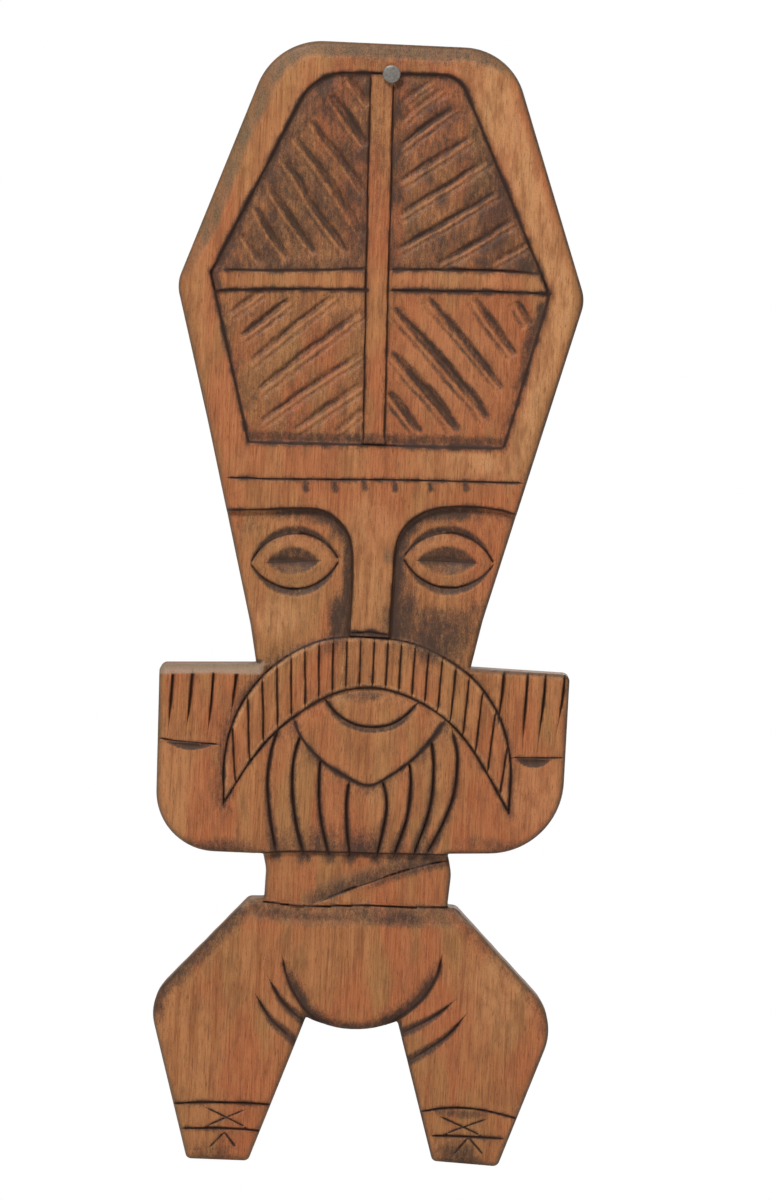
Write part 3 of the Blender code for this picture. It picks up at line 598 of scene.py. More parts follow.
def carve_hat(relief):
    panel = rounded(HAT_PANEL)
    for corners, stain_and_shade in zip(HAT_FIELDS, FIELD_STAINS):
        index, deep = relief.within(rounded(corners))
        to_panel = inside_distance(relief.at[index], panel)[0]
        deep = np.minimum(deep, to_panel)
        floor = FIELD_DEPTH + FIELD_EDGE_DEPTH * cone(to_panel, 5)
        relief.level[index] += floor * inward(deep, 0.9)
        mottled = 1 + 0.4 * relief.noise(index, 5, 7, 41)
        by_edge = 0.3 * np.exp(-np.clip(deep, 0, 99) / 1.6)
        relief.darken(index, np.clip(stain_and_shade * mottled + by_edge, 0, 0.9) * inward(deep, 0.4))
        pool_stain(relief, index, deep, to_panel)
    for stroke in GOUGES:
        relief.gouge(*stroke)
    index, deep = relief.within(panel)
    x, z = relief.at[index].T
    relief.darken(index, 0.8 * (deep > 0) * fall(deep, 1.8, 4.6) * ramp(-x, 46, 50) * ramp(z, -78, -74))


def pool_stain(relief, index, deep, to_panel):
    """Stain pooled along the panel's edge, at its upper left and below the crossbar's right end."""
    x, z = relief.at[index].T
    upper_left = ramp(-z, 8, 24) * ramp(-x, 22, 30) * ramp(z, -70, -66)
    lower_right = ramp(x, 36, 42) * ramp(-z, 71, 75) * (1 - 0.45 * ramp(-z, 84, 110))
    uneven = 1 + 0.35 * relief.noise(index, 3, 6, 43)
    by_edge = fall(to_panel * uneven, 0.8, 5.2) * inward(deep, 0.4)
    relief.darken(index, 0.85 * (upper_left + lower_right) * by_edge)


def carve_cheeks(relief):
    left, right, top = smoothed([BROW_LEFT, BROW_RIGHT, MOUSTACHE_TOP])
    top_left = top[(top[:, 0] > -34) & (top[:, 0] < -5)][::-1]
    top_right = top[(top[:, 0] > 8) & (top[:, 0] < 36)]
    cheeks = [
        (np.vstack([(-60, -198.2), (-60, -147.2), left, top_left, (-30.4, -198.4)]), left, 0.7),
        (np.vstack([(60, -197), (60, -144.6), right, top_right, (34.5, -197.2)]), right, 0.45),
    ]
    for cheek, brow, outer_fade in cheeks:
        index, deep = relief.within(cheek)
        to_brow = path_distance(relief.at[index], brow)[0]
        floor = CHEEK_DEPTH + CHEEK_EDGE_DEPTH * np.exp(-to_brow / 8)
        relief.level[index] += floor * inward(deep, 0.7)
        uneven = 1 + 0.35 * relief.noise(index, 4, 4, 37)
        outer = 1 - outer_fade * ramp(np.abs(relief.at[index, 0] - 1.5), 28, 38)
        # Darker under the brow and down the nose: stain and painted shade of the brow's step.
        relief.darken(index, 0.95 * outer * inward(deep, 0.4) * fall(to_brow * uneven, 1.4, 6.2))


def carve_eyes(relief):
    """Each eye is a ball in a scooped lid, and its pupil a small hollow with a seam across it."""
    for eye, pupil in zip(EYES, PUPILS):
        first, (top_x, top_z), second, (bottom_x, bottom_z) = eye
        lid_top, lid_foot = (top_x, top_z + EYELID_WIDTH), (bottom_x, bottom_z - EYELID_WIDTH)
        index, deep = relief.within(lens(eye), 4)
        ball = EYE_DEPTH - EYE_CROWN * ramp(deep, 0, 5.5)
        relief.level[index] = np.where(deep > 0, ball, relief.level[index])
        lid = inside_distance(relief.at[index], lens([first, lid_top, second, lid_foot]))[0]
        outside = deep <= 0
        relief.deepen(index, EYELID_DEPTH * np.clip(lid / EYELID_WIDTH, 0, 1) * outside)
        relief.darken(index, (0.6 + 0.3 * ramp(-deep, 2.8, 0.6)) * ramp(lid, -0.2, 1) * outside)
        index, deep = relief.within(lens(pupil), 1)
        height = relief.at[index, 1] - (pupil[0][1] + pupil[2][1]) / 2
        seam = np.exp(-((height / 1.1) ** 2)) * ramp(deep, 0.1, 1.2)
        # The pupil's upper half is painted darker as shadow.
        relief.darken(index, ramp(deep, -0.3, 1.4) * (0.6 + 0.14 * ramp(height, -2.8, 1.2)) + 0.3 * seam)
        relief.deepen(index, np.clip(deep * PUPIL_SLOPE, 0, 2) + 0.35 * seam)


def carve_moustache(relief):
    """A low crescent, its upper edge chamfered, a little proud of the hands and the beard, with painted
    shadow just above its upper edge and a painted highlight along the chamfer.
    """
    top, foot = smooth(MOUSTACHE_TOP), smooth(MOUSTACHE_FOOT)
    index, deep = relief.within(np.vstack([top, foot[-2:0:-1]]), 6)
    relief.level[index] += np.where(deep > 0, 0.5 * fall(deep, 0, 1.6), 0)
    arms = (deep <= 0) & (relief.at[index, 1] < -198)
    relief.level[index] += arms * 0.5 * np.clip(1 + deep / 5, 0, 1)
    # Painted shadow just above the moustache's upper edge, broader on the left.
    above = path_distance(relief.at[index], top)[0] < -deep + 0.01
    soft = 1.5 + 1.6 * ramp(-relief.at[index, 0], 22, 34)
    relief.darken(index, (deep <= 0) * above * 0.85 * np.exp(deep / soft))
    # A painted highlight along the chamfer of the upper edge.
    crest = fall(np.abs(deep - 1), 0.2, 0.9)
    relief.wear_and_highlight(index, 0.75 * crest * (deep > 0))


def carve_mouth(relief):
    foot, lip, chin = smoothed([MOUSTACHE_FOOT, LIP_FOOT, CHIN_FOOT])
    inner = foot[(foot[:, 0] > chin[0, 0]) & (foot[:, 0] < chin[-1, 0])]
    index, deep = relief.within(np.vstack([inner, chin[::-1]]))
    under = path_distance(relief.at[index], foot)[0]
    relief.level[index] += inward(deep, 0.8) * (MOUTH_DEPTH + MOUTH_EDGE_DEPTH * np.exp(-under / 4))
    lip_top = foot[(foot[:, 0] > lip[0, 0]) & (foot[:, 0] < lip[-1, 0])]
    index, deep = relief.within(np.vstack([lip_top, lip[::-1]]), 1)
    relief.level[index] -= 0.35 * ramp(deep, 0, 3)
    index, far, t, side = relief.along(lip, 3)
    # Painted shadow in the scoop under the lip.
    scoop = cone(far, 2.4) * np.sin(np.pi * t) * (side < 0)
    relief.deepen(index, 0.9 * scoop)
    relief.darken(index, 0.8 * ramp(scoop, 0.02, 0.35))
    # Painted shadow of the moustache on the lip's upper part.
    index, deep = relief.within(lens(LIP_SHADE), 2)
    relief.darken(index, 0.55 * ramp(deep, -0.8, 2))


def carve_beard(relief):
    chin = smooth(CHIN_FOOT)
    region = np.vstack([smooth(BEARD_CUTS[0])[::-1], chin, smooth(BEARD_CUTS[-1])])
    index, deep = relief.within(region)
    under = path_distance(relief.at[index], chin)[0]
    relief.level[index] += inward(deep, 1) * (BEARD_DEPTH + BEARD_EDGE_DEPTH * np.exp(-under / 3))
    # Darker just below the chin line: painted shadow of the chin, partly stain.
    below = 0.7 + 0.4 * relief.noise(index, 3, 3, 63)
    relief.darken(index, below * np.exp(-under / 2.4) * inward(deep, 0.4))
    for cut in BEARD_CUTS:
        index, far, t, _ = relief.along(smooth(cut), 4)
        body = ramp(t, 0, 0.1)
        relief.level[index] += 0.45 * cone(far, 3.2) ** 2 * body
        relief.darken(index, 0.85 * body * fall(far, 0.3, 1.5 + 0.8 * t + 2.2 * t**4))


def carve_hands(relief):
    for scoop in WRIST_SCOOPS:
        index, deep = relief.within(lens(scoop), 1)
        relief.deepen(index, np.clip(deep, 0, 1.1) * 0.8)
        relief.darken(index, 0.95 * ramp(deep, -0.2, 0.5))
    for cut in FINGER_CUTS:
        index, far, t, _ = relief.along(smooth(cut), 3)
        relief.darken(index, 0.6 * ramp(1 - t, 0, 0.6) * cone(far, 1.5))


def carve_waist(relief):
    """The sunk waist with its sash, and the slope that leads down from it to the hips."""
    top, foot = smooth(WAIST_TOP), smooth(WAIST_FOOT)
    region = [(-40, -261.2), *top, (40, -258.4), (40, -276.2), *foot[::-1], (-40, -277.4)]
    index, deep = relief.within(np.array(region))
    relief.level[index] += WAIST_DEPTH * inward(deep, 0.8) * (np.abs(relief.at[index, 0]) < 33)
    index, far, t, side = relief.along(smooth(SASH_LINE), 8)
    sunk = relief.level[index] > 1.0
    upper = (side > 0) & sunk
    relief.level[index] += upper * 0.45 * cone(far, 6)
    relief.darken(index, upper * 0.62 * fall(far, 1.4, 6.2))
    relief.dull(index, upper * 0.5 * fall(far, 3.5, 7))
    lower = (side < 0) & sunk
    relief.darken(index, lower * 0.7 * ramp(t, 0.25, 0.5) * fall(far, 0.8, 3.6))
    index, far, _, side = relief.along(foot, 8)
    below = (side < 0) * cone(far, 7.2)
    relief.level[index] += 1.4 * below
    mottled = 0.44 + 0.2 * relief.noise(index, 9, 2, 71)
    relief.darken(index, mottled * ramp(below, 0.02, 0.42))
    relief.dull(index, 0.38 * ramp(below, 0, 0.12))


def carve_belly(relief):
    for path in BELLY_CUTS:
        index, far, t, side = relief.along(smooth(path), 6)
        inner = side if path[0][0] < 0 else -side
        toward = np.where(inner > 0, 1 - far / 5, 1 - far / 1.1)
        strength = ramp(t, -0.05, 0.45)
        relief.deepen(index, 1.4 * strength * np.clip(toward, 0, 1))
        # Painted shade in the scoop on the belly's side of each cut.
        relief.darken(index, 0.95 * strength * ramp(toward, 0, 0.85))
    for path in GROIN_CUTS:
        index, far, t, _ = relief.along(smooth(path), 3.5)
        half = 0.6 + 1.6 * ramp(t, 0, 0.8)
        relief.deepen(index, 0.9 * ramp(t, 0, 0.4) * cone(far, half))
        relief.darken(index, 0.85 * ramp(t, 0, 0.3) * fall(far, 0.3 * half, 1.3 * half))
    x, z = relief.at.T
    index = np.flatnonzero((z < -308) & (relief.edge < 5) & (np.abs(x - 1.5) < 17))
    relief.darken(index, 0.7 * fall(relief.edge[index], 1.2, 4.2))
    relief.level[index] += 0.8 * fall(relief.edge[index], 0, 4.5)


def carve_band_nicks(relief):
    for x, z in BAND_NICKS:
        index, far, _, _ = relief.along(np.array([(x - 0.3, z + 1), (x + 0.3, z - 1.6)]), 4)
        relief.deepen(index, 0.35 * cone(far, 1.6))
        relief.darken(index, 0.82 * fall(far, 0.3, 2.1))


def stain_patches(relief):
    """Broad patches of stain, partly painted shadow to the right of the nose, and worn patches, the beard's
    dark foot, and the hat's hem.
    """
    wander = [0.25 * relief.noise(ALL, 6, 6, seed) for seed in (7, 8)]
    for centre, size, dark in STAIN_AND_SHADOW_PATCHES:
        x, z = relief.patch(centre, size)
        relief.darken(ALL, dark * fall(np.hypot(x + wander[0], z + wander[1]), 0.15, 1.15))
    for centre, size, worn_and_highlight in WORN_PATCHES:
        relief.wear_and_highlight(ALL, worn_and_highlight * fall(np.hypot(*relief.patch(centre, size)), 0.3, 1.1))
    centre, size, grey = GREY_SCUFF
    relief.dull(ALL, grey * fall(np.hypot(*relief.patch(centre, size)), 0.3, 1.1))
    x, z = relief.at.T
    beard = np.exp(-(((x + 3.5) / 24) ** 4)) * ramp(-z, 245, 260) * ramp(z, -262, -260)
    relief.darken(ALL, beard * (0.76 + 0.4 * relief.noise(ALL, 2.4, 7, 61)))
    index, far, _, _ = relief.along(np.array(HAT_HEM), 4)
    relief.darken(index, 0.68 * fall(far, 1, 3.6))


def carve_hand_facet(relief):
    """The rasped facet along the left hand's top edge, where the finger cuts stop, painted pale as a
    highlight.
    """
    x, z = relief.at.T
    below_top = HAND_TOP[1] + HAND_TOP_SLOPE * (x - HAND_TOP[0]) - z
    reach = HAND_FACET_REACH + 0.3 * relief.noise(ALL, 6, 6, 52)
    facet = cone(below_top, reach) * (below_top > -1) * ramp(-x, 33, 35)
    relief.level += 1.8 * facet
    relief.paint_top_highlight(ALL, 0.9 * ramp(facet, 0, 0.15))
    hidden = facet > 0.02
    relief.line[hidden] = NO_LINE
    relief.cut[hidden] = 0
    relief.stain_and_shade[hidden] *= 0.4


def highlight_hip_corners(relief):
    x, z = relief.at.T
    corners = ramp(-z, 275, 277) * ramp(z, -284, -280) * ramp(np.abs(x - 1), 32, 34)
    # A painted highlight on the hips' upper corners.
    relief.paint_top_highlight(ALL, 0.6 * corners * fall(relief.edge, 0.6, 2.4))


def carve(at, edge):
    """The whole relief at these points, given each one's distance from the figure's edge."""
    relief = Relief(at, edge)
    carve_rims(relief)
    carve_hat(relief)
    carve_cheeks(relief)
    carve_eyes(relief)
    carve_moustache(relief)
    carve_mouth(relief)
    carve_beard(relief)
    carve_hands(relief)
    carve_waist(relief)
    carve_belly(relief)
    carve_band_nicks(relief)
    for cut in knife_lines():
        relief.knife(*cut)
    stain_patches(relief)
    carve_hand_facet(relief)
    highlight_hip_corners(relief)
    relief.level += 0.16 * soft_noise(at, 14, 22, 3) + 0.07 * soft_noise(at, 4, 7, 4)
    return relief


# The board's mesh

def snapped_grid(outline):
    """A grid of points over the figure, moved onto its edge, the nail hole and the knife lines where
    they lie close: the points, their count along x, their distances to the edge and the hole, and
    which of them lie on either."""
    low, high = outline.min(axis=0) - GRID_STEP, outline.max(axis=0) + GRID_STEP
    xs = np.arange(low[0], high[0] + GRID_STEP, GRID_STEP)
    zs = np.arange(low[1], high[1] + GRID_STEP, GRID_STEP)
    at = np.stack(np.meshgrid(xs, zs, indexing="ij"), axis=2).reshape(-1, 2)
    edge, foot = inside_distance(at, outline)
    to_hole = np.hypot(at[:, 0], at[:, 1]) - NAIL_HOLE_RADIUS
    for path, *_ in knife_lines():
        index = near_path(at, path, GRID_STEP)
        far, _, _, near = path_distance(at[index], path)
        close = far < GRID_STEP * 0.52
        at[index[close]] = near[close]
    rim = np.abs(edge) < GRID_STEP * 0.5
    at[rim], edge[rim] = foot[rim], 0.0
    ring = np.abs(to_hole) < GRID_STEP * 0.5
    at[ring] *= (NAIL_HOLE_RADIUS / np.hypot(at[ring, 0], at[ring, 1]))[:, None]
    to_hole[ring] = 0.0
    return at, len(xs), edge, to_hole, rim | ring


def front_grid(outline):
    """The front's points, each one's distance from the figure's edge, and the faces between them."""
    at, columns, edge, to_hole, on_rim = snapped_grid(outline)
    kept = (edge >= 0) & (to_hole >= 0)
    corner = np.arange(len(at)).reshape(columns, -1)
    cells = np.stack([corner[:-1, :-1], corner[1:, :-1], corner[1:, 1:], corner[:-1, 1:]], axis=2)
    cells = cells.reshape(-1, 4)
    faces = []
    for cell in cells[kept[cells].sum(axis=1) >= 3]:
        inside = [v for v in cell if kept[v]]
        if all(on_rim[v] for v in inside):
            middle = at[inside].mean(axis=0)[None]
            if inside_distance(middle, outline)[0][0] < 0.05 or np.hypot(*middle[0]) < NAIL_HOLE_RADIUS:
                continue
        faces.append(inside)
    used = np.unique(np.concatenate([np.array(face) for face in faces]))
    number = np.full(len(at), -1)
    number[used] = np.arange(len(used))
    return at[used], edge[used], [[int(number[v]) for v in face] for face in faces]


def rim_edges(faces):
    """The directed edges that only one face uses."""
    seen = {}
    for face in faces:
        for a, b in zip(face, face[1:] + face[:1]):
            if (b, a) in seen:
                del seen[(b, a)]
            else:
                seen[(a, b)] = True
    return list(seen)


def rim_normals(at, walls, place):
    """The direction out of the board at each vertex of its rim."""
    normal = np.zeros((len(place), 2))
    for a, b in walls:
        line = at[b] - at[a]
        out = np.array((line[1], -line[0])) / max(np.hypot(*line), TINY)
        normal[place[a]] += out
        normal[place[b]] += out
    return normal / np.maximum(np.hypot(normal[:, 0], normal[:, 1]), TINY)[:, None]


def side_wall(at, y, walls):
    """The sawn side behind the rim, down to a rounded back edge: its points, its faces and its last row."""
    rim = np.array(sorted({v for pair in walls for v in pair}))
    place = {int(v): i for i, v in enumerate(rim)}
    normal = rim_normals(at, walls, place)
    points = []
    for share in np.linspace(0.06, 1, SIDE_ROWS):
        wall_y = y[rim] * (1 - share) - BACK_EDGE_ROUND * share
        wobble = 0.06 * soft_noise(np.stack([at[rim, 1], wall_y * 3], axis=1), 3, 4, 12) - 0.08
        moved = at[rim] + normal * wobble[:, None]
        points.append(np.stack([moved[:, 0], wall_y, moved[:, 1]], axis=1))
    back = at[rim] - normal * BACK_EDGE_ROUND * 0.8
    points.append(np.stack([back[:, 0], np.zeros(len(rim)), back[:, 1]], axis=1))
    rows = [rim] + [len(at) + row * len(rim) + np.arange(len(rim)) for row in range(len(points))]
    faces = []
    for near, far in zip(rows, rows[1:]):
        for a, b in walls:
            faces.append([int(near[place[b]]), int(near[place[a]]), int(far[place[a]]), int(far[place[b]])])
    return points, faces, rows[-1]


def close_back(data, rim):
    """Fills the back between the outer rim and the nail hole, and turns every face outward."""
    mesh = bmesh.new()
    mesh.from_mesh(data)
    mesh.verts.ensure_lookup_table()
    last = {mesh.verts[int(v)] for v in rim}
    open_edges = [edge for edge in mesh.edges if len(edge.link_faces) == 1 and set(edge.verts) <= last]
    bmesh.ops.triangle_fill(mesh, use_beauty=True, edges=open_edges, normal=(0, 1, 0))
    bmesh.ops.recalc_face_normals(mesh, faces=mesh.faces)
    mesh.to_mesh(data)
    mesh.free()


def store_finish(data, relief, back_row):
    """Stores the finish of every vertex. The side has a veil of grey grime, and the back is bare."""
    spare = np.zeros(len(data.vertices) - len(relief.at))
    on_back = np.zeros(len(data.vertices))
    on_back[back_row] = 1.0
    finishes = {
        "line": np.append(relief.line, spare + NO_LINE),
        "stain_and_shade": np.append(relief.stain_and_shade, spare),
        "grey": np.append(relief.grey, spare + WALL_GREY) * (1 - on_back),
        "worn_and_highlight": np.append(relief.worn_and_highlight, spare),
        "painted_top_highlight": np.append(relief.painted_top_highlight, spare),
        "back": on_back,
    }
    for name, values in finishes.items():
        attribute = data.attributes.new(name, "FLOAT", "POINT")
        attribute.data.foreach_set("value", values.astype(np.float32))


def add_object(name, data):
    made = bpy.data.objects.new(name, data)
    bpy.context.scene.collection.objects.link(made)
    return made


def make_board():
    at, edge, faces = front_grid(figure_outline())
    relief = carve(at, edge)
    round_in = cone(edge, FRONT_EDGE_ROUND)
    depth = relief.level + relief.cut + FRONT_EDGE_ROUND * (1 - np.sqrt(1 - round_in**2))
    y = BOARD_FRONT + np.maximum(depth, 0.02)
    side_points, side_faces, back_row = side_wall(at, y, rim_edges(faces))
    points = np.vstack([np.stack([at[:, 0], y, at[:, 1]], axis=1)] + side_points)
    data = bpy.data.meshes.new("carved_figure")
    data.from_pydata((points * MM).tolist(), [], faces + side_faces)
    close_back(data, back_row)
    store_finish(data, relief, back_row)
    data.shade_smooth()
    data.set_sharp_from_angle(angle=math.radians(45))
    return add_object("carved_figure", data)


# Materials

class Nodes:
    """Short names for the nodes that the materials are built from."""

    def __init__(self, name):
        self.material = bpy.data.materials.new(name)
        self.material.use_nodes = True
        self.tree = self.material.node_tree
        self.shader = self.tree.nodes["Principled BSDF"]

    def add(self, kind, values=(), **settings):
        node = self.tree.nodes.new(kind)
        for key, value in settings.items():
            setattr(node, key, value)
        for socket, value in dict(values).items():
            self.put(node.inputs[socket], value)
        return node

    def put(self, socket, value):
        if isinstance(value, bpy.types.NodeSocket):
            self.tree.links.new(value, socket)
        else:
            socket.default_value = value

    def attribute(self, name):
        return self.add("ShaderNodeAttribute", attribute_name=name).outputs["Fac"]

    def noise(self, stretch, detail=3, roughness=0.55, distortion=0, shift=0):
        """Noise in millimetres, with bumps 1 / stretch long on each axis."""
        place = self.add("ShaderNodeTexCoord").outputs["Object"]
        scale = tuple(value / MM for value in stretch)
        mapped = self.add("ShaderNodeMapping", {
            "Vector": place, "Scale": scale, "Location": (shift, shift, shift),
        })
        return self.add("ShaderNodeTexNoise", {
            "Vector": mapped.outputs["Vector"], "Scale": 1, "Detail": detail,
            "Roughness": roughness, "Distortion": distortion,
        }).outputs["Fac"]

    def nail_distance(self):
        """Distance from the nail's axis, in metres."""
        place = self.add("ShaderNodeTexCoord").outputs["Object"]
        across = (1, 0, 1)
        flat = self.add("ShaderNodeVectorMath", {0: place, 1: across}, operation="MULTIPLY").outputs[0]
        return self.add("ShaderNodeVectorMath", {0: flat}, operation="LENGTH").outputs["Value"]

    def range(self, value, low, high, to_low=0, to_high=1):
        return self.add("ShaderNodeMapRange", {
            "Value": value, "From Min": low, "From Max": high, "To Min": to_low, "To Max": to_high,
        }, interpolation_type="SMOOTHSTEP").outputs["Result"]

    def math(self, operation, first, second=0):
        return self.add("ShaderNodeMath", {0: first, 1: second}, operation=operation).outputs[0]

    def mix(self, share, first, second, blend="MIX"):
        node = self.add("ShaderNodeMix", data_type="RGBA", blend_type=blend)
        self.put(node.inputs["Factor"], share)
        self.put(node.inputs["A"], first)
        self.put(node.inputs["B"], second)
        return node.outputs["Result"]


def colour(red, green, blue):
    """A screen colour, 0 to 255, as the linear colour a shader takes."""
    def linear(value):
        value /= 255
        return value / 12.92 if value <= 0.04045 else ((value + 0.055) / 1.055) ** 2.4
    return (linear(red), linear(green), linear(blue), 1)


def carved_wood():
    n = Nodes("carved_wood_finish")
    streak = n.noise((0.42, 0.42, 0.010), 4, 0.6, 0.4)
    fibre = n.noise((2.6, 2.6, 0.10), 3, 0.6)
    patch = n.noise((0.045, 0.045, 0.018), 2, 0.5, 0.3, 7)
    olive = n.noise((0.10, 0.10, 0.035), 3, 0.5, 0.3, 19)
    mottle = n.noise((0.34, 0.34, 0.11), 4, 0.6, 0, 3)
    fleck = n.noise((3, 3, 1.8), 2, 0.6, 0, 23)
    pores = n.noise((3.4, 3.4, 0.34), 2, 0.5, 0, 11)

    wood = n.mix(n.range(streak, 0.34, 0.66), colour(137, 82, 44), colour(166, 110, 66))
    wood = n.mix(n.range(patch, 0.42, 0.60, 0, 0.85), wood, colour(156, 84, 48))
    wood = n.mix(n.range(olive, 0.50, 0.68, 0, 0.65), wood, colour(142, 102, 58))
    # Lighter where worn, and painted highlights on the gouge ridges and the moustache's chamfer.
    worn_and_highlight = n.math("MULTIPLY", n.attribute("worn_and_highlight"), n.range(mottle, 0.62, 0.38, 0.5, 1))
    wood = n.mix(worn_and_highlight, wood, colour(190, 138, 92))
    back = n.attribute("back")
    sawn = n.noise((0.03, 0.03, 0.8), 2, 0.5, 0.2, 31)
    bare = n.mix(n.range(sawn, 0.36, 0.64), colour(152, 106, 67), colour(159, 112, 71))
    wood = n.mix(n.math("MULTIPLY", back, 0.7), wood, bare)
    grime = n.range(n.noise((0.03, 0.03, 0.018), 3, 0.55, 0.4, 41), 0.46, 0.66, 0, 0.6)
    wood = n.mix(n.math("MULTIPLY", back, grime), wood, colour(98, 70, 46))
    wood = n.mix(n.range(fibre, 0.40, 0.66, 0, 0.42), wood, colour(184, 124, 78))
    wood = n.mix(n.range(fibre, 0.47, 0.30, 0, 0.45), wood, colour(104, 60, 34))
    wood = n.mix(n.range(mottle, 0.42, 0.72, 0, 0.5), wood, colour(120, 74, 44))
    wood = n.mix(n.range(fleck, 0.52, 0.66, 0, 0.35), wood, colour(100, 66, 42))
    wood = n.mix(n.range(pores, 0.60, 0.70, 0, 0.5), wood, colour(76, 44, 26))

    grey = n.math("MULTIPLY", n.attribute("grey"), n.range(mottle, 0.35, 0.62, 0.62, 0.95))
    wood = n.mix(grey, wood, n.mix(n.range(fleck, 0.42, 0.6), colour(114, 89, 63), colour(88, 70, 50)))
    # Pale grey painted highlight on the top facets.
    painted_top_highlight = n.math("MULTIPLY", n.attribute("painted_top_highlight"), n.range(fleck, 0.38, 0.62, 1, 0.5))
    wood = n.mix(painted_top_highlight, wood, colour(138, 122, 104))
    blotch = n.noise((0.7, 0.7, 0.3), 5, 0.65, 0, 5)
    soak = n.math("ADD", n.math("MULTIPLY", blotch, 0.6), n.math("MULTIPLY", fleck, 0.4))
    # Darker with stain and with painted shade and shadow.
    held = n.math("MULTIPLY", n.math("SUBTRACT", soak, 0.5), 2)
    held = n.math("MULTIPLY", held, n.range(n.attribute("stain_and_shade"), 0, 0.35))
    stain_and_shade = n.range(n.math("ADD", n.attribute("stain_and_shade"), held), 0.02, 1, 0, 0.93)
    wood = n.mix(stain_and_shade, wood, colour(54, 40, 33))
    rust = n.range(n.nail_distance(), 7 * MM, 2.2 * MM, 0, 0.75)
    wood = n.mix(n.math("MULTIPLY", back, rust), wood, colour(58, 44, 36))
    line = n.range(n.attribute("line"), 1.15, 0.35, 0, 0.92)
    wood = n.mix(line, wood, colour(50, 29, 19))

    n.put(n.shader.inputs["Base Color"], wood)
    rough = n.range(streak, 0.3, 0.7, 0.46, 0.58)
    rough = n.math("ADD", rough, n.math("MULTIPLY", n.attribute("stain_and_shade"), 0.16))
    n.put(n.shader.inputs["Roughness"], rough)
    n.shader.inputs["Specular IOR Level"].default_value = 0.25
    relief = n.math("ADD", n.math("MULTIPLY", fibre, 0.5), n.math("MULTIPLY", pores, -0.35))
    relief = n.math("ADD", relief, n.math("MULTIPLY", blotch, 0.3))
    relief = n.math("ADD", relief, n.math("MULTIPLY", n.math("MULTIPLY", back, sawn), 0.3))
    bump = n.add("ShaderNodeBump", {"Strength": 0.35, "Distance": 0.25 * MM, "Height": relief})
    n.put(n.shader.inputs["Normal"], bump.outputs["Normal"])
    return n.material


def nail_steel():
    n = Nodes("nail_steel_finish")
    spangle = n.noise((1.4, 1.4, 1.4), 3, 0.6)
    scratch = n.noise((0.5, 6, 5), 2, 0.5, 0, 2)
    steel = n.mix(n.range(spangle, 0.35, 0.65), colour(110, 105, 99), colour(130, 125, 119))
    n.put(n.shader.inputs["Base Color"], steel)
    n.shader.inputs["Metallic"].default_value = 0.6
    n.put(n.shader.inputs["Roughness"], n.range(scratch, 0.3, 0.7, 0.42, 0.6))
    bump = n.add("ShaderNodeBump", {"Strength": 0.2, "Distance": 0.1 * MM, "Height": spangle})
    n.put(n.shader.inputs["Normal"], bump.outputs["Normal"])
    return n.material


# The nail, the stage and the camera

def turned(name, profile, sides=64):
    """A solid turned about the nail's axis, from (y, radius) pairs."""
    mesh = bmesh.new()
    rings = []
    for y, radius in profile:
        angles = 2 * math.pi * np.arange(sides) / sides
        ring = [(radius * math.cos(a) * MM, y * MM, radius * math.sin(a) * MM) for a in angles]
        rings.append([mesh.verts.new(place) for place in ring])
    for near, far in zip(rings, rings[1:]):
        for index in range(sides):
            mesh.faces.new((near[index - 1], near[index], far[index], far[index - 1]))
    mesh.faces.new(rings[0])
    mesh.faces.new(rings[-1])
    bmesh.ops.recalc_face_normals(mesh, faces=mesh.faces)
    data = bpy.data.meshes.new(name)
    mesh.to_mesh(data)
    mesh.free()
    data.shade_smooth()
    data.set_sharp_from_angle(angle=math.radians(40))
    return add_object(name, data)


def make_nail():
    """A round wire nail: a flat head, grip grooves under it, a plain shank and a point."""
    front, neck = NAIL_FRONT, NAIL_FRONT + NAIL_HEAD_THICKNESS
    shank, grip = NAIL_SHANK_RADIUS, NAIL_GRIP_RADIUS
    profile = [
        (front, 0.4), (front + 0.02, 2.2), (front + 0.1, 2.72), (front + 0.28, 2.94), (front + 0.5, 3),
        (front + 0.95, 2.96), (front + 1.15, 2.78), (neck, 2.5), (neck, shank + 0.12),
    ]
    for groove in range(NAIL_GRIPS):
        y = neck + 0.8 + groove * NAIL_GRIP_PITCH
        profile += [(y, shank), (y + 0.25, grip), (y + 0.5, grip), (y + 0.7, shank)]
    profile += [(NAIL_TIP - 4.2, shank), (NAIL_TIP - 3.8, grip), (NAIL_TIP - 0.4, 0.3), (NAIL_TIP, 0.12)]
    return turned("round_wire_nail", profile)


def show_to_camera(tree, lighting, seen, output):
    """Camera rays meet one shader, and every other ray the other."""
    rays = tree.nodes.new("ShaderNodeLightPath")
    mix = tree.nodes.new("ShaderNodeMixShader")
    tree.links.new(rays.outputs["Is Camera Ray"], mix.inputs[0])
    tree.links.new(lighting.outputs[0], mix.inputs[1])
    tree.links.new(seen.outputs[0], mix.inputs[2])
    tree.links.new(mix.outputs[0], output.inputs["Surface"])


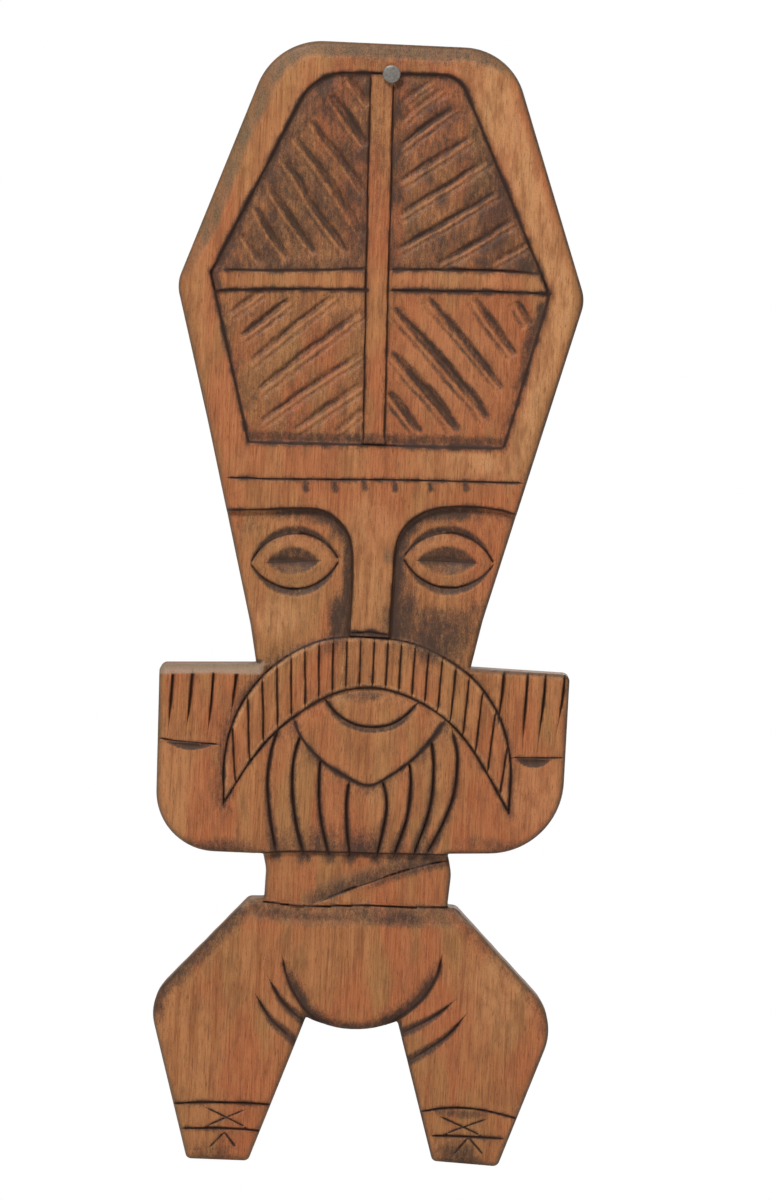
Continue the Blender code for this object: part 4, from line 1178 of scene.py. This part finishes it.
def make_floor():
    data = bpy.data.meshes.new("floor")
    reach, z = FLOOR_REACH, BOARD_FOOT * MM - FLOOR_GAP
    corners = [(-reach, -reach, z), (reach, -reach, z), (reach, reach, z), (-reach, reach, z)]
    data.from_pydata(corners, [], [(0, 1, 2, 3)])
    floor = add_object("floor", data)
    pale = bpy.data.materials.new("pale_floor")
    pale.use_nodes = True
    tree = pale.node_tree
    shader = tree.nodes["Principled BSDF"]
    shader.inputs["Base Color"].default_value = PALE_GREY
    shader.inputs["Roughness"].default_value = 0.9
    lit = tree.nodes.new("ShaderNodeEmission")
    lit.inputs["Color"].default_value = WHITE
    show_to_camera(tree, shader, lit, tree.nodes["Material Output"])
    data.materials.append(pale)


def aim(obj, place, target, roll=0):
    obj.location = place
    toward = (Vector(target) - Vector(place)).to_track_quat("-Z", "Y").to_matrix()
    obj.rotation_euler = (toward @ Matrix.Rotation(roll, 3, "Z")).to_euler()


def make_lights():
    for name, place, size, power in LIGHTS:
        data = bpy.data.lights.new(name, "AREA")
        data.shape, data.size, data.energy = "DISK", size, power
        aim(add_object(name, data), place, LIT_POINT)
    world = bpy.data.worlds.new("studio")
    bpy.context.scene.world = world
    world.use_nodes = True
    tree = world.node_tree
    background = tree.nodes["Background"]
    background.inputs["Color"].default_value = WHITE
    background.inputs["Strength"].default_value = WORLD_STRENGTH
    seen = tree.nodes.new("ShaderNodeBackground")
    seen.inputs["Color"].default_value = WHITE
    show_to_camera(tree, background, seen, tree.nodes["World Output"])


def make_camera():
    """Square on to the figure from a little above, and rolled, as the figure hangs askew in view."""
    x, y, z = CAMERA_TARGET
    back, up = CAMERA_DISTANCE * math.cos(CAMERA_ELEVATION), CAMERA_DISTANCE * math.sin(CAMERA_ELEVATION)
    data = bpy.data.cameras.new("camera")
    data.lens = CAMERA_LENS
    data.clip_start, data.clip_end = 0.05, 50.0
    camera = add_object("camera", data)
    aim(camera, (x, y - back, z + up), CAMERA_TARGET, CAMERA_ROLL)
    bpy.context.scene.camera = camera


make_camera()
make_floor()
make_lights()

figure = make_board()
figure.data.materials.append(carved_wood())
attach(figure, "figure")
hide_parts("carved_board")

nail = make_nail()
nail.data.materials.append(nail_steel())
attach(nail, "nail")
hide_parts("hanging_nail")

bpy.context.scene.view_settings.view_transform = "Standard"
